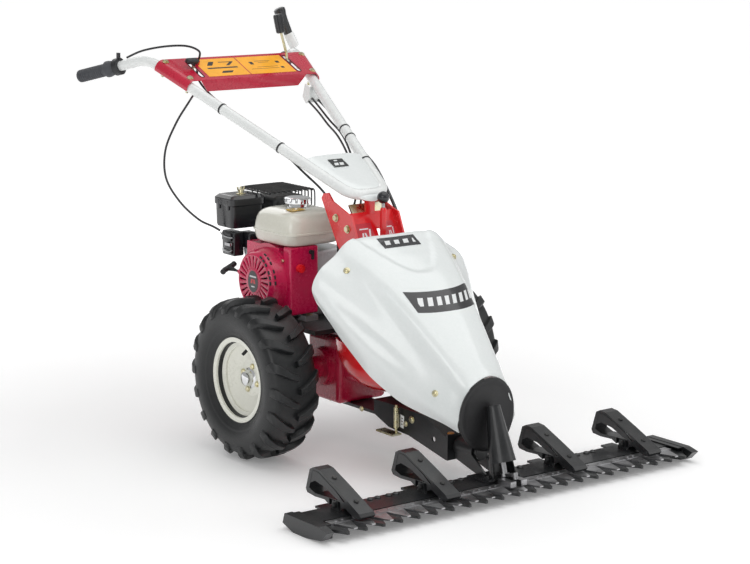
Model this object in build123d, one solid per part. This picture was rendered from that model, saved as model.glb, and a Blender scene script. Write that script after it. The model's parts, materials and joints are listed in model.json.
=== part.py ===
from build123d import *
import math
import os

# Two-wheeled walk-behind brush mower with a sickle bar, a horizontal-shaft petrol engine and a
# handlebar. Millimetres. While it is built, Y = 0 is the wheel axle, -Y is the direction of travel,
# +Z is up, Z = 0 is the ground and X = 0 is the machine's middle. "Right" is -X, as the operator sees it.

# ---- driving dimensions ----
TYRE_R = 210.0            # to the tips of the lugs
TYRE_W = 148.0
RIM_EDGE_R = 113.0
RIM_EDGE_X = 53.0         # from the wheel's middle plane
BEAD_R = 101.0
TRACK = 592.0             # between the wheels' middle planes
LUGS = 18
AXLE_R = 17.0
FIT = 0.05                # radial clearance of a running fit

CRANK = (137.0, 429.0)    # y, z of the crankshaft
ENGINE_BASE = 323.0
BED_T = 12.0
HOUSING_X = -158.0        # outer face of the fan housing
RECOIL_SLOTS = 24
INPUT = (-118.0, 236.0)   # y, z of the gearbox input shaft
BELT_X = 104.0            # middle plane of the belt
BELL_Y, BELL_Z = -186.0, 300.0
BELL_R = (136.0, 148.0, 130.0)    # half sizes across, along and up

TUBE_R = 14.0
TUBE_WALL = 2.5
TUBE_FOOT = (53.8, -92.0, 672.0)
TUBE_BEND = (244.0, 590.0, 981.0)
TUBE_END = (335.0, 800.0, 923.0)
BEND_R = 110.0
FOOT_BEND_R = 44.0
GRIP_L = 122.0
GRIP_R = 18.0

PANEL_FRONT = (429.0, 933.0)      # y, z of the panel's front top edge
PANEL_SLOPE = 24.05
PANEL_LEN = 122.0
PANEL_HALF = (198.0, 229.0)       # half width at the front and rear, at the tubes' axes
FOLD_R = 22.0
SHEET = 2.5
SLOT_X, SLOT_LEN, SLOT_W = 160.0, 92.0, 12.0

BAR_HALF = 566.0
TOOTH_PITCH, TEETH = 50.8, 22
TIP_Y = -731.0
BAR_Y = (-645.0, -562.0)
BAR_Z = (20.0, 34.0)
COMB_Z = (21.0, 28.0)
KNIFE_Z = (28.4, 33.0)
HOLDER_X = (-456.0, -202.0, 202.0, 456.0)
BRACKET_X = (72.0, 77.0)  # the handle bracket's side plates, inside and outside
GEAR_X = 15.0
GEAR_PIVOT = (-135.0, 545.0)      # y, z
DRIVE_PIVOT = (575.0, 996.0)      # y, z
SWING_Z = 88.0            # height of the bar's swing axis
ROCKER_FOOT = (-646.0, 46.0)
ROCKER_TILT = 15.8
ROCKER_ARM = 40.0

# hood sections: y, crown z, then x, z of the shoulder, the waist and the lower edge
HOOD = (
    (-188.0, 582.0, (122.0, 579.0), (246.0, 470.0), (230.0, 425.0)),
    (-250.0, 549.0, (118.0, 540.0), (222.0, 412.0), (207.0, 352.0)),
    (-330.0, 499.0, (106.0, 484.0), (190.0, 335.0), (177.0, 264.0)),
    (-410.0, 436.0, (92.0, 416.0), (154.0, 272.0), (142.0, 208.0)),
    (-490.0, 364.0, (78.0, 340.0), (121.0, 228.0), (110.0, 178.0)),
    (-572.0, 286.0, (55.0, 264.0), (85.0, 190.0), (77.0, 152.0)),
)
HOOD_T = 4.0

ORIGIN_Y = 40.4           # the row's origin, behind the axle, is under the middle of the length

parts = {}


# ---- helpers ----
def block(x, y, z, r=0.0):
    """A box between pairs of limits, with its upright edges rounded when r is given."""
    solid = Pos((x[0] + x[1]) / 2, (y[0] + y[1]) / 2, (z[0] + z[1]) / 2) * Box(
        abs(x[1] - x[0]), abs(y[1] - y[0]), abs(z[1] - z[0])
    )
    return fillet(solid.edges(), r) if r else solid


def rod(start, end, radius, bore=0.0):
    """A round bar or tube between two points."""
    a, b = Vector(*start), Vector(*end)
    plane = Plane(origin=a, z_dir=b - a)
    ring = Circle(radius) - Circle(bore) if bore else Circle(radius)
    return extrude(plane * ring, (b - a).length)


def disc_x(x, y, z, radius, bore=0.0):
    """A round plate or ring about an axis along X, between two x values."""
    return rod((x[0], y, z), (x[1], y, z), radius, bore)


def side_plate(points, x):
    """A plate with its outline given as y, z points, between two x values."""
    face = Plane(origin=(x[0], 0, 0), x_dir=(0, 1, 0), z_dir=(1, 0, 0)) * make_face(
        Polyline(*points, close=True)
    )
    return extrude(face, x[1] - x[0])


def hex_bolt(point, axis, across=13.0, head=6.0, shank=12.0, shank_r=4.0):
    """A bolt whose head stands out from the point along the axis."""
    a, d = Vector(*point), Vector(*axis).normalized()
    plane = Plane(origin=a, z_dir=d)
    solid = extrude(plane * RegularPolygon(across / math.sqrt(3), 6), head)
    solid += extrude(plane * Circle(across * 0.75), 1.4)
    return solid + extrude(plane * Circle(shank_r), -shank)


def mirrored(point):
    return (-point[0], point[1], point[2])


def both_sides(make):
    """The right-hand piece made by a function, and its mirror image."""
    right = make()
    return Compound(children=[right, mirror(right, Plane.YZ)])


def group(solids):
    return Compound(children=[s for item in solids for s in item.solids()])


def tube_path(points, radii, radius):
    """A plain tube along straight runs joined by tangent arcs."""
    path = FilletPolyline(*points, radius=radii)
    return sweep(Plane(origin=path @ 0, z_dir=path % 0) * Circle(radius), path=path)


def arc_radii(points):
    """Each corner's radius: 0.45 of its shorter run over the tangent of half its turn."""
    radii = []
    for a, b, c in zip(points, points[1:], points[2:]):
        run_in, run_out = Vector(*b) - Vector(*a), Vector(*c) - Vector(*b)
        half = math.radians(run_in.get_angle(run_out)) / 2
        radii.append(0.45 * min(run_in.length, run_out.length) / math.tan(half))
    return radii


# ---- wheels ----
def tyre():
    half = TYRE_W / 2
    wall = Spline((-49, BEAD_R), (-50, 114), (2 - half, 150), (-66, 193))
    tread = ThreePointArc((-66, 193), (0, 199), (66, 193))
    outer = make_face([*wall.edges(), *tread.edges(), *mirror(wall, Plane.YZ).edges(),
                       *Line((49, BEAD_R), (-49, BEAD_R)).edges()])
    inner_wall = Spline((-40, 90), (-40, 112), (9 - half, 155), (-56, 183))
    inner_tread = ThreePointArc((-56, 183), (0, 189), (56, 183))
    inner = make_face([*inner_wall.edges(), *inner_tread.edges(), *mirror(inner_wall, Plane.YZ).edges(),
                       *Line((40, 90), (-40, 90)).edges()])
    body = revolve(outer - inner, Axis.X)
    bar = block((-37, 37), (-8, 8), (-12, 16))
    lugs = []
    for i in range(LUGS):
        for side in (-1, 1):
            turn = 360 / LUGS * (i + (0.5 if side > 0 else 0))
            place = Rot(turn, 0, 0) * Pos(side * 33, 0, TYRE_R - 14) * Rot(0, 0, side * 30)
            lugs.append(place * bar)
    tops = disc_x((-TYRE_W / 2, TYRE_W / 2), 0, 0, TYRE_R) - disc_x((-80, 80), 0, 0, 191)
    lugs = [solid & tops for solid in lugs]
    return body + lugs


def rim():
    barrel = Polyline(
        (-RIM_EDGE_X, RIM_EDGE_R), (-50, RIM_EDGE_R), (-50, BEAD_R), (-34, BEAD_R), (-30, 88), (30, 88),
        (34, BEAD_R), (50, BEAD_R), (50, RIM_EDGE_R), (RIM_EDGE_X, RIM_EDGE_R), (RIM_EDGE_X, 98),
        (36, 98), (32, 85), (-32, 85), (-36, 98), (-RIM_EDGE_X, 98), close=True,
    )
    disc = Polyline((-27, 86), (-12, 47), (-12, 14), (-8, 14), (-8, 48), (-22, 86), close=True)
    solid = revolve(make_face(barrel), Axis.X) + revolve(make_face(disc), Axis.X)
    for i in range(4):
        solid -= Rot(90 * i + 19, 0, 0) * rod((-20, 0, 33), (0, 0, 33), 4.3)
    return solid


def hub():
    """Bolt flange, boss and stub axle, which turns in the axle housing."""
    solid = disc_x((-8, -1), 0, 0, 46) + disc_x((-1, 72), 0, 0, 27) + disc_x((-24, -8), 0, 0, 13.9)
    solid += disc_x((72, 236), 0, 0, AXLE_R)
    for i in range(4):
        solid -= Rot(90 * i + 19, 0, 0) * rod((-10, 0, 33), (0, 0, 33), 4.1)
    return solid


def wheel_bolts():
    nut = disc_x((-16, -12), 0, 0, 26, 14) + disc_x((-29, -24.1), 0, 0, 12)
    nut += Plane(origin=(-16, 0, 0), z_dir=(-1, 0, 0)) * extrude(
        RegularPolygon(20, 6) - Circle(14), 8)
    bolts = [Rot(90 * i + 19, 0, 0) * hex_bolt((-12, 0, 33), (-1, 0, 0), 12, 5, 18, 4.0) for i in range(4)]
    valve = Rot(-14, 0, 0) * (rod((-33, 0, 84.4), (-47, 0, 70), 4.2) + rod((-34, 0, 83.4), (-38, 0, 79.4), 6))
    return group([nut, *bolts, valve])


for side, name in ((-1, "right"), (1, "left")):
    centre = Pos(side * TRACK / 2, 0, TYRE_R)
    for piece, make in (("tyre", tyre), ("rim", rim), ("hub", hub), ("wheel_bolts", wheel_bolts)):
        solid = make()
        solid = solid if side < 0 else mirror(solid, Plane.YZ)
        parts[f"{piece}_{name}"] = centre * solid


# ---- gearbox, frame and engine bed ----
def gearbox_case():
    case = block((-78, 78), (-70, 72), (118, 292), 14)
    case += block((-62, 62), (-158, -60), (184, 290), 12)
    case += disc_x((-90, 90), 0, TYRE_R, 52)
    case += block((-56, 56), (-60, 64), (290, ENGINE_BASE - BED_T))
    case -= disc_x((-120, 120), 0, TYRE_R, 30.3)
    case -= disc_x((30, 100), *INPUT, 12 + FIT)
    return case


def axle_housings():
    def one():
        solid = disc_x((-214, -40), 0, TYRE_R, 30, AXLE_R + FIT)
        return solid + disc_x((-98, -90.2), 0, TYRE_R, 50, AXLE_R + FIT)
    return both_sides(one)


def clutch_bell():
    """Bulged sheet guard round the front of the gearbox, open at the back and top."""
    place = Pos(0, BELL_Y, BELL_Z)
    outer = place * scale(Sphere(100), tuple(r / 100 for r in BELL_R))
    inner = place * scale(Sphere(100), tuple((r - 3) / 100 for r in BELL_R))
    keep = block((-160, 90), (-360, -100), (100, 309)) - block((-84, 92), (-164, -60), (100, 320))
    return (outer - inner) & keep


def frame_beam():
    outline = ((64, 108), (-170, 112), (-236, 88), (-316, 84), (-466, 53), (-466, 112), (-380, 150),
               (-172, 150), (-172, 117.6), (64, 117.6))
    plates = side_plate(outline, (-40, -35)) + side_plate(outline, (35, 40))
    web = side_plate(((-172, 144), (-380, 144), (-466, 106), (-466, 112), (-380, 150), (-172, 150)), (-35, 35))
    foot = block((-35, 35), (-172, 64), (108, 117.6))
    nose = block((-40, 40), (-474, -466), (53, 118))
    for x in (-40, 35):
        plates -= disc_x((x, x + 5), -418, 96, 7)
    pin = rod((0, -474, SWING_Z), (0, -552, SWING_Z), 14) + rod((0, -552, SWING_Z), (0, -560, SWING_Z), 20)
    riser = block((-12, 12), (-476, -470), (112, 120))
    return plates + web + foot + nose + pin + riser


def engine_bed():
    z = (ENGINE_BASE - BED_T, ENGINE_BASE)
    plate = block((-150, 92), (-64, 252), z)
    plate += side_plate(((-64, 311), (-171, 311), (-171, 317), (-64, 317)), (-80, 91))
    for x in (-150, 84):
        plate += side_plate(((70, 311), (252, 311), (252, 292), (110, 280)), (x, x + 8))
    cable_stop = block((-70, 0), (-58, -34), (346, 352)) + block((-70, 0), (-58, -54), (ENGINE_BASE, 346))
    return plate + cable_stop


def handle_bracket():
    """Two side plates, a sloping front plate with the gear lever's slot, a latch plate and the tube's saddle."""
    outline = ((10, 655), (0, 668), (-20, 672), (-40, 652), (-105, 628), (-122, 624), (-150, 560), (-168, 500),
               (-168, 317.3), (-120, 317.3), (-96, 500), (-59, 543))
    x_in, x_out = BRACKET_X
    plates = side_plate(outline, (-x_out, -x_in)) + side_plate(outline, (x_in, x_out))
    front = side_plate(((-92, 622), (-96, 626), (-164, 503), (-164, 420), (-160, 420), (-160, 502)), (-x_in, x_in))
    front -= block((GEAR_X - 9.5, GEAR_X + 9.5), (-180, -100), (528, 584))
    latch = side_plate(((-92, 624), (-76, 645), (-73, 643), (-88, 621)), (-52, 52))
    foot = block((-x_in, x_in), (-166, -110), (317.3, 322))
    y, z = TUBE_FOOT[1:]
    saddle = disc_x((-14, 14), y, z, TUBE_R + 5, TUBE_R + FIT)
    saddle -= Pos(0, y, z) * Rot(35, 0, 0) * block((-20, 20), (-40, 40), (0, 40))
    stem = block((-14, 14), (y - 8, y), (620, z - TUBE_R - 2))
    return plates + front + latch + foot + saddle + stem


parts["gearbox_case"] = gearbox_case()
parts["axle_housings"] = axle_housings()
parts["clutch_bell"] = clutch_bell()
parts["frame_beam"] = frame_beam()
parts["engine_bed"] = engine_bed()
parts["handle_bracket"] = handle_bracket()


# ---- hood and nose ----
def hood_section(y, crown, shoulder, waist, base, inset=0.0):
    drop = 30 if inset else 0
    half = [(base[0] - inset, base[1] - drop), (waist[0] - inset, waist[1]),
            (shoulder[0] - inset * 0.5, shoulder[1] - inset)]
    points = [(x, z) for x, z in half] + [(0, crown - inset)] + [(-x, z) for x, z in reversed(half)]
    plane = Plane(origin=(0, y, 0), x_dir=(1, 0, 0), z_dir=(0, -1, 0))
    return plane * make_face([*Spline(*points).edges(), *Line(points[-1], points[0]).edges()])


def hood():
    outer = loft([hood_section(*row) for row in HOOD])
    inner = loft([hood_section(*row, inset=HOOD_T) for row in HOOD])
    shell = outer - inner
    for x in (-170, 170):
        shell -= rod((x * 0.8, -200, 440), (x * 1.15, -262, 500), 5)
    return shell


parts["hood"] = hood()
NOSE_Z, NOSE_R, NOSE_Y = 188.0, 92.0, -580.0


def nose_cover():
    plate = rod((0, NOSE_Y + 4, NOSE_Z), (0, NOSE_Y, NOSE_Z), NOSE_R)
    plate += rod((0, NOSE_Y + 4, NOSE_Z), (0, NOSE_Y + 12, NOSE_Z), NOSE_R - 14, NOSE_R - 18)
    plate += side_plate(((NOSE_Y + 4, 118), (-476.2, 118), (-476.2, 124), (NOSE_Y + 4, 124)), (-12, 12))
    return plate


parts["nose_cover"] = nose_cover()


# ---- engine ----
def crankcase():
    case = block((-108, 52), (72, 206), (ENGINE_BASE + 6, 505), 8)
    for x in ((-100, -60), (10, 46)):
        for y in ((48, 84), (194, 232)):
            case += block(x, y, (ENGINE_BASE, ENGINE_BASE + 14))
    case += disc_x((52, 62), *CRANK, 46)
    case -= disc_x((-120, 70), *CRANK, 12.5 + FIT)
    case -= disc_x((-98, 42), *CRANK, 52)
    return case


def cylinder_head():
    """Finned cylinder and head, leaning back 25 degrees above level, with the valve cover."""
    place = Pos(0, CRANK[0], CRANK[1]) * Rot(25, 0, 0)
    solid = block((-78, 22), (78, 172), (-42, 42))
    for i in range(9):
        solid += block((-92, 36), (84 + 10 * i, 88 + 10 * i), (-58, 56))
    solid += block((-70, 14), (172, 188), (-40, 40))
    return place * solid - block((-110, 53), (60, 206.3), (320, 545))


def blower_housing():
    def outline(grow):
        ring = Circle(97 + grow)
        tower = Pos(24, 48) * Rectangle(150 + 2 * grow, 86 + 2 * grow)
        return ring + tower
    plane = Plane(origin=(HOUSING_X, *CRANK), x_dir=(0, 1, 0), z_dir=(1, 0, 0))
    shell = extrude(plane * outline(0), -110 - HOUSING_X) - extrude(plane.offset(3) * outline(-3), 60)
    front = block((HOUSING_X + 1, -66), (37, 71.8), (346, 526), 6)
    shell += front - block((HOUSING_X + 4, -60), (40, 80), (349, 523))
    return shell - disc_x((HOUSING_X - 5, HOUSING_X + 5), *CRANK, 74)


def recoil_cover():
    """Slotted dish over the fan, with the starter rope's outlet at its back."""
    profile = Polyline((HOUSING_X, 86), (-196, 79), (-205, 72), (-205, 32), (-207, 31), (-207, 0), (-204, 0),
                       (-202, 69), (-194, 76), (HOUSING_X, 82.5), close=True)
    cover = Pos(0, *CRANK) * revolve(make_face(profile), Axis.X)
    cover += block((-198, -182), (CRANK[0] + 74, CRANK[0] + 86), (430, 450))
    for i in range(RECOIL_SLOTS):
        slot = block((-209, -199), (36, 65), (-2.3, 2.3))
        cover -= Pos(0, *CRANK) * Rot(360 / RECOIL_SLOTS * i + 3, 0, 0) * slot
    return cover - rod((-190, 196, 436), (-190, 240, 442), 3.4)


def flywheel():
    wheel = disc_x((-172, -166), *CRANK, 70, 12.5)
    wheel += disc_x((-166, -150), *CRANK, 34, 12.5)
    for i in range(12):
        blade = block((-184, -172), (34, 68), (-1.5, 1.5))
        wheel += Pos(0, CRANK[0], CRANK[1]) * Rot(30 * i, 0, 0) * blade
    return wheel


def v_pulley(x, y, z, radius, bore=0.0):
    solid = disc_x((x - 11, x + 11), y, z, radius, bore)
    ring = Polyline((-6.6, radius + 1), (6.6, radius + 1), (4.4, radius - 9), (-4.4, radius - 9), close=True)
    return solid - Pos(x, y, z) * revolve(make_face(ring), Axis.X)


def crankshaft():
    shaft = disc_x((-176, 122), *CRANK, 12.5)
    shaft += disc_x((-60, -44), *CRANK, 34) + disc_x((-12, 4), *CRANK, 34)
    return shaft + v_pulley(BELT_X, *CRANK, 38)


def input_pulley():
    return v_pulley(BELT_X, *INPUT, 62) + disc_x((31, BELT_X + 16), *INPUT, 12)


def drive_belt():
    """One V belt round both pulleys, in their grooves."""
    (y1, z1), (y2, z2) = CRANK, INPUT
    r1, r2, thick = 32.5, 56.5, 7.5
    span = math.hypot(y2 - y1, z2 - z1)
    lean = math.atan2(z2 - z1, y2 - y1)
    spread = math.acos((r1 - r2) / span)

    def loop(grow):
        a = [(y + (r + grow) * math.cos(lean + s * spread), z + (r + grow) * math.sin(lean + s * spread))
             for s in (1, -1) for y, z, r in ((y1, z1, r1), (y2, z2, r2))]
        plate = side_plate((a[0], a[1], a[3], a[2]), (BELT_X - 4.3, BELT_X + 4.3))
        for y, z, r in ((y1, z1, r1), (y2, z2, r2)):
            plate += disc_x((BELT_X - 4.3, BELT_X + 4.3), y, z, r + grow)
        return plate
    return loop(thick) - loop(0)


def belt_guard():
    (y1, z1), (y2, z2) = CRANK, INPUT
    lean = math.atan2(z2 - z1, y2 - y1)
    n = (-math.sin(lean), math.cos(lean))

    def loop(r1, r2, x):
        points = [(y1 + n[0] * r1, z1 + n[1] * r1), (y2 + n[0] * r2, z2 + n[1] * r2),
                  (y2 - n[0] * r2, z2 - n[1] * r2), (y1 - n[0] * r1, z1 - n[1] * r1)]
        return side_plate(points, x) + disc_x(x, y1, z1, r1) + disc_x(x, y2, z2, r2)
    guard = loop(62, 78, (93.5, 132)) - loop(59, 75, (80, 129.5))
    guard -= disc_x((90, 99), 0, TYRE_R, 52) + disc_x((90, 140), 0, TYRE_R, 33)
    return guard - disc_x((90, 96), *CRANK, 50)


def fuel_tank():
    lower = block((-165, 15), (30, 215), (528, 560), 12)
    upper = block((-163, 13), (34, 211), (556, 618), 16)
    tank = lower + upper + block((-170, 20), (25, 220), (556, 561))
    tank += rod((-75, 121, 616), (-75, 121, 628), 24)
    return tank - rod((-75, 121, 590), (-75, 121, 640), 17)


def fuel_cap():
    cap = rod((-75, 121, 628.3), (-75, 121, 644), 36) - rod((-75, 121, 628), (-75, 121, 634), 31)
    for i in range(12):
        cap -= Pos(-75, 121, 0) * Rot(0, 0, 30 * i) * rod((37, 0, 620), (37, 0, 650), 3)
    return cap


def air_cleaner():
    box = block((-168, -62), (290, 380), (542, 606), 8)
    box += block((-171, -59), (287, 384), (606, 628), 7)
    box += rod((-112, 334, 626), (-112, 334, 634), 14) + rod((-112, 334, 634), (-112, 334, 648), 4)
    box += block((-116, -108), (318, 350), (638, 650), 2)
    return box


def carburettor():
    body = block((-128, -96), (262, 318), (486, 534), 4)
    body += rod((-113, 290, 462), (-113, 290, 486), 16)
    body += block((-124, -96), (300, 340), (520, 541.8))
    body += block((-165, -129), (286, 352), (466, 536), 5)
    return body + block((-176, -164), (338, 350), (514, 529))


def muffler():
    box = block((-48, 58), (264, 372), (552, 622), 16) - block((-45, 55), (267, 369), (555, 619), 14)
    pipe = rod((49, 368, 590), (49, 384, 590), 9, 7)
    return box + pipe + block((-30, 20), (252, 264.5), (572, 596))


def muffler_guard():
    """Cage of flat strips over the muffler."""
    solids = []
    for i in range(10):
        y = 236 + 15.4 * i
        solids.append(block((-84, 66), (y, y + 4), (640, 643)))
    for x in (-84, -46, -8, 28, 62):
        solids.append(block((x, x + 4), (236, 379), (637.5, 640.5)))
    for i in range(6):
        solids.append(block((-84 + 29.2 * i, -80 + 29.2 * i), (376, 379), (560, 640)))
    for i in range(5):
        solids.append(block((63, 66), (236 + 35 * i, 240 + 35 * i), (560, 640)))
    solids.append(block((-84, 66), (376, 379), (560, 566)))
    solids.append(block((63, 66), (236, 379), (560, 566)))
    cage = solids[0]
    for solid in solids[1:]:
        cage += solid
    return cage - block((-175, -56), (284, 390), (536, 634))


def spark_plug():
    plug = rod((-28, 316, 520), (-28, 338, 528), 8) + rod((-28, 338, 528), (-28, 356, 535), 10)
    return plug


parts["crankcase"] = crankcase()
parts["cylinder_head"] = cylinder_head()
parts["blower_housing"] = blower_housing()
parts["recoil_cover"] = recoil_cover()
parts["flywheel"] = flywheel()
parts["crankshaft"] = crankshaft()
parts["input_pulley"] = input_pulley()
parts["drive_belt"] = drive_belt()
parts["belt_guard"] = belt_guard()
parts["fuel_tank"] = fuel_tank()
parts["fuel_cap"] = fuel_cap()
parts["air_cleaner"] = air_cleaner()
parts["carburettor"] = carburettor()
parts["muffler"] = muffler()
parts["muffler_guard"] = muffler_guard()
parts["spark_plug"] = spark_plug()
parts["starter_grip"] = rod((-190.6, 227, 440.1), (-197, 260, 444.5), 3) + (
    Pos(-198, 266, 445) * Rot(0, -20, 0) * block((-24, 24), (-8, 8), (-8, 8), 6))
parts["choke_lever"] = rod((-165.4, 318, 500), (-171, 318, 500), 5) + block((-174, -171), (296, 322), (496, 504))
parts["fuel_tap"] = rod((-98, 29, 512), (-98, 22, 512), 6) + block((-101, -95), (16, 22), (494, 518))
parts["engine_switch"] = rod((-132, 31, 472), (-132, 20, 472), 11) + block((-135, -129), (15, 20), (463, 481))


# ---- cutter bar ----
def back_bar():
    bar = block((-BAR_HALF, BAR_HALF), BAR_Y, BAR_Z)
    comb = block((-BAR_HALF, BAR_HALF), (-690, BAR_Y[0]), COMB_Z)
    half = TOOTH_PITCH / 2
    teeth = []
    for i in range(TEETH):
        x = (i - (TEETH - 1) / 2) * TOOTH_PITCH
        outline = Polyline((x - half * 0.94, -689), (x + half * 0.94, -689), (x + half * 0.26, -722),
                           (x + 3, TIP_Y), (x - 3, TIP_Y), (x - half * 0.26, -722), close=True)
        teeth.append(extrude(Plane.XY.offset(COMB_Z[0]) * make_face(outline), COMB_Z[1] - COMB_Z[0]))
    ears = []
    for x in HOLDER_X:
        for edge in (-21, 15):
            ears.append(side_plate(((-584, 34), (-616, 34), (-610, 58), (-590, 58)), (x + edge, x + edge + 6)))
        ears.append(disc_x((x - 24, x + 24), -600, 48, 5))
        ears.append(block((x - 20, x + 20), (-562.5, -520), (22, 27)))
    return bar + comb + teeth + ears


def bar_skids():
    def one():
        cheek = side_plate(((-548, 14), (-590, 0), (-640, 0), (-700, 8), (-722, 30), (-690, 38), (-556, 38)),
                           (-588, -BAR_HALF - 0.2))
        sole = side_plate(((-554, 12), (-590, 0), (-640, 0), (-696, 7.4), (-696, 19.8), (-554, 19.8)),
                          (-BAR_HALF - 2, -BAR_HALF + 13))
        clip = side_plate(((-560, 34.2), (-686, 34.2), (-686, 37), (-560, 37)), (-BAR_HALF - 2, -BAR_HALF + 16))
        return cheek + sole + clip
    middle = side_plate(((-558, 19.8), (-640, 19.8), (-660, 12), (-640, 0), (-580, 0), (-552, 12)), (-60, 60))
    return group([both_sides(one), middle])


def bar_carrier():
    sleeve = rod((0, -478, SWING_Z), (0, -548, SWING_Z), 25, 14 + FIT)
    plates = side_plate(((-484, 84), (-484, 60), (-566, 38), (-600, 38), (-600, 44), (-545, 84)), (-24, -18))
    plates += side_plate(((-484, 84), (-484, 60), (-566, 38), (-600, 38), (-600, 44), (-545, 84)), (18, 24))
    foot = block((-54, 54), (-640, -566), (34, 39))
    plates -= rod((0, -470, SWING_Z), (0, -560, SWING_Z), 14 + FIT)
    return sleeve + plates + foot


def on_rocker(solid):
    """Moves a piece built upright at the origin onto the drive shaft's leaning axis."""
    return Pos(0, *ROCKER_FOOT) * Rot(-ROCKER_TILT, 0, 0) * solid


def drive_guard():
    shell = Cone(38, 17, 172, align=(Align.CENTER, Align.CENTER, Align.MIN)) - Cone(
        35, 14, 172, align=(Align.CENTER, Align.CENTER, Align.MIN))
    shell += Pos(0, 0, 170) * (Cylinder(17, 4, align=(Align.CENTER, Align.CENTER, Align.MIN)))
    shell -= block((-40, 40), (-60, 0), (-10, 36))
    guard = on_rocker(shell) - block((-80, 80), (-760, -500), (0, 39))
    foot = block((-50, -30), (-645, -618), (39, 44)) + block((30, 50), (-645, -618), (39, 44))
    return guard + foot


def rocker():
    solid = rod((0, 0, 0), (0, 0, 140), 8) + rod((0, 0, 0), (0, 0, 8), 13)
    solid += block((-7, 7), (-ROCKER_ARM, 0), (0, 7)) + rod((0, -ROCKER_ARM, -9), (0, -ROCKER_ARM, 7), 7)
    return on_rocker(solid)


def knife():
    strip = block((-540, 540), (-672, -648), KNIFE_Z)
    half = TOOTH_PITCH / 2
    blades = []
    for i in range(TEETH - 1):
        x = (i - (TEETH - 2) / 2) * TOOTH_PITCH
        outline = Polyline((x - half + 1.5, -671), (x + half - 1.5, -671), (x + 5, -724), (x - 5, -724),
                           close=True)
        blades.append(extrude(Plane.XY.offset(KNIFE_Z[0]) * make_face(outline), 3.2))
        blades.append(rod((x - 9, -660, 32), (x - 9, -660, 34.6), 3.5))
        blades.append(rod((x + 9, -660, 32), (x + 9, -660, 34.6), 3.5))
    head = block((-26, -8.2), (-698, -650), (KNIFE_Z[1], 47)) + block((8.2, 26), (-698, -650), (KNIFE_Z[1], 47))
    return strip + blades + head


def holder_arm(x):
    """Folded strap that holds the knife down on the comb, pivoted between two ears on the bar."""
    outline = ((-676, 35.2), (-694, 35.2), (-700, 42), (-694, 49), (-606, 88), (-536, 117), (-514, 119),
               (-500, 112), (-484, 62), (-490, 53), (-520, 50), (-560, 52), (-592, 38), (-610, 38), (-640, 50))
    inside = ((-508, 103), (-514, 113), (-536, 112), (-608, 82), (-642, 64), (-562, 60), (-522, 58), (-498, 66))
    arm = side_plate(outline, (x - 21, x + 21)) - side_plate(inside, (x - 30, x + 30))
    arm -= block((x - 24, x - 13.5), (-622, -578), (30, 60)) + block((x + 13.5, x + 24), (-622, -578), (30, 60))
    return arm - disc_x((x - 30, x + 30), -600, 48, 5 + FIT)


parts["back_bar"] = back_bar()
parts["bar_skids"] = bar_skids()
parts["bar_carrier"] = bar_carrier()
parts["drive_guard"] = drive_guard()
parts["rocker"] = rocker()
parts["knife"] = knife()
for number, x in enumerate(HOLDER_X, start=1):
    parts[f"holder_arm_{number}"] = holder_arm(x)


# ---- handlebar ----
def on_panel(solid):
    """Moves a piece built flat (x across, y up the slope, z off the plate) onto the panel."""
    return Pos(0, *PANEL_FRONT) * Rot(PANEL_SLOPE, 0, 0) * solid


def handlebar():
    """One bent tube: both grips, both arms and the crosswise foot that turns in the bracket's saddle."""
    right, left = [mirrored(p) for p in (TUBE_END, TUBE_BEND, TUBE_FOOT)], [TUBE_FOOT, TUBE_BEND, TUBE_END]
    bends = [BEND_R, FOOT_BEND_R, FOOT_BEND_R, BEND_R]
    tube = tube_path(right + left, bends, TUBE_R) - tube_path(right + left, bends, TUBE_R - TUBE_WALL)
    gusset = side_plate(((404, 896), (424, 905), (436, 868), (420, 850), (404, 862)), (164, 168))
    gusset += block((164, 214), (418, 421), (852, 896))
    return tube + (gusset - tube_path(left, [BEND_R], TUBE_R - 1))


def control_panel():
    (front, rear), length = PANEL_HALF, PANEL_LEN
    plate = extrude(make_face(Polyline((-front, 0), (front, 0), (rear, length), (-rear, length), close=True)),
                    -SHEET)
    for side in (-1, 1):
        start, end = Vector(side * front, 0, -FOLD_R), Vector(side * rear, length, -FOLD_R)
        fold = rod(tuple(start), tuple(end), FOLD_R, FOLD_R - SHEET)
        angle = math.degrees(math.atan2((rear - front) * side, length))
        inside = Pos(*start) * Rot(0, 0, -angle) * block(
            (-side * 60, 0), (-20, length + 40), (-40, 40))
        below = block((-300, 300), (-40, length + 40), (-80, -FOLD_R - 7))
        plate += fold - inside - below
    for side in (-1, 1):
        plate -= Pos(side * SLOT_X, length / 2, 0) * extrude(SlotOverall(SLOT_LEN, SLOT_W, rotation=90), 10, both=True)
    plate = on_panel(plate)
    y, z = PANEL_FRONT
    skirt_face = Plane(origin=(0, y, z), x_dir=(1, 0, 0), z_dir=(0, -1, -0.24)) * make_face(
        Polyline((-176, 0), (176, 0), (150, -34), (-150, -34), close=True))
    ferrule = on_panel(rod((-138, 84, -0.5), (-138, 84, 12), 5.5))
    return plate + extrude(skirt_face, -SHEET) + ferrule


def panel_bolts():
    bolts = []
    for side in (-1, 1):
        for up in (14, 108):
            x = side * (PANEL_HALF[0] + (PANEL_HALF[1] - PANEL_HALF[0]) * up / PANEL_LEN)
            bolts.append(on_panel(hex_bolt((x, up, 0.1), (0, 0, 1), 12, 4, 0.05, 4)))
            bolts.append(on_panel(rod((x, up, -45), (x, up, -FOLD_R - TUBE_R - 1), 4)))
    return group(bolts)


def grip_axis(back):
    """A point on the right tube's end run, measured back from the tube's end."""
    end, bend = Vector(*mirrored(TUBE_END)), Vector(*mirrored(TUBE_BEND))
    return end + (bend - end).normalized() * back


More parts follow.
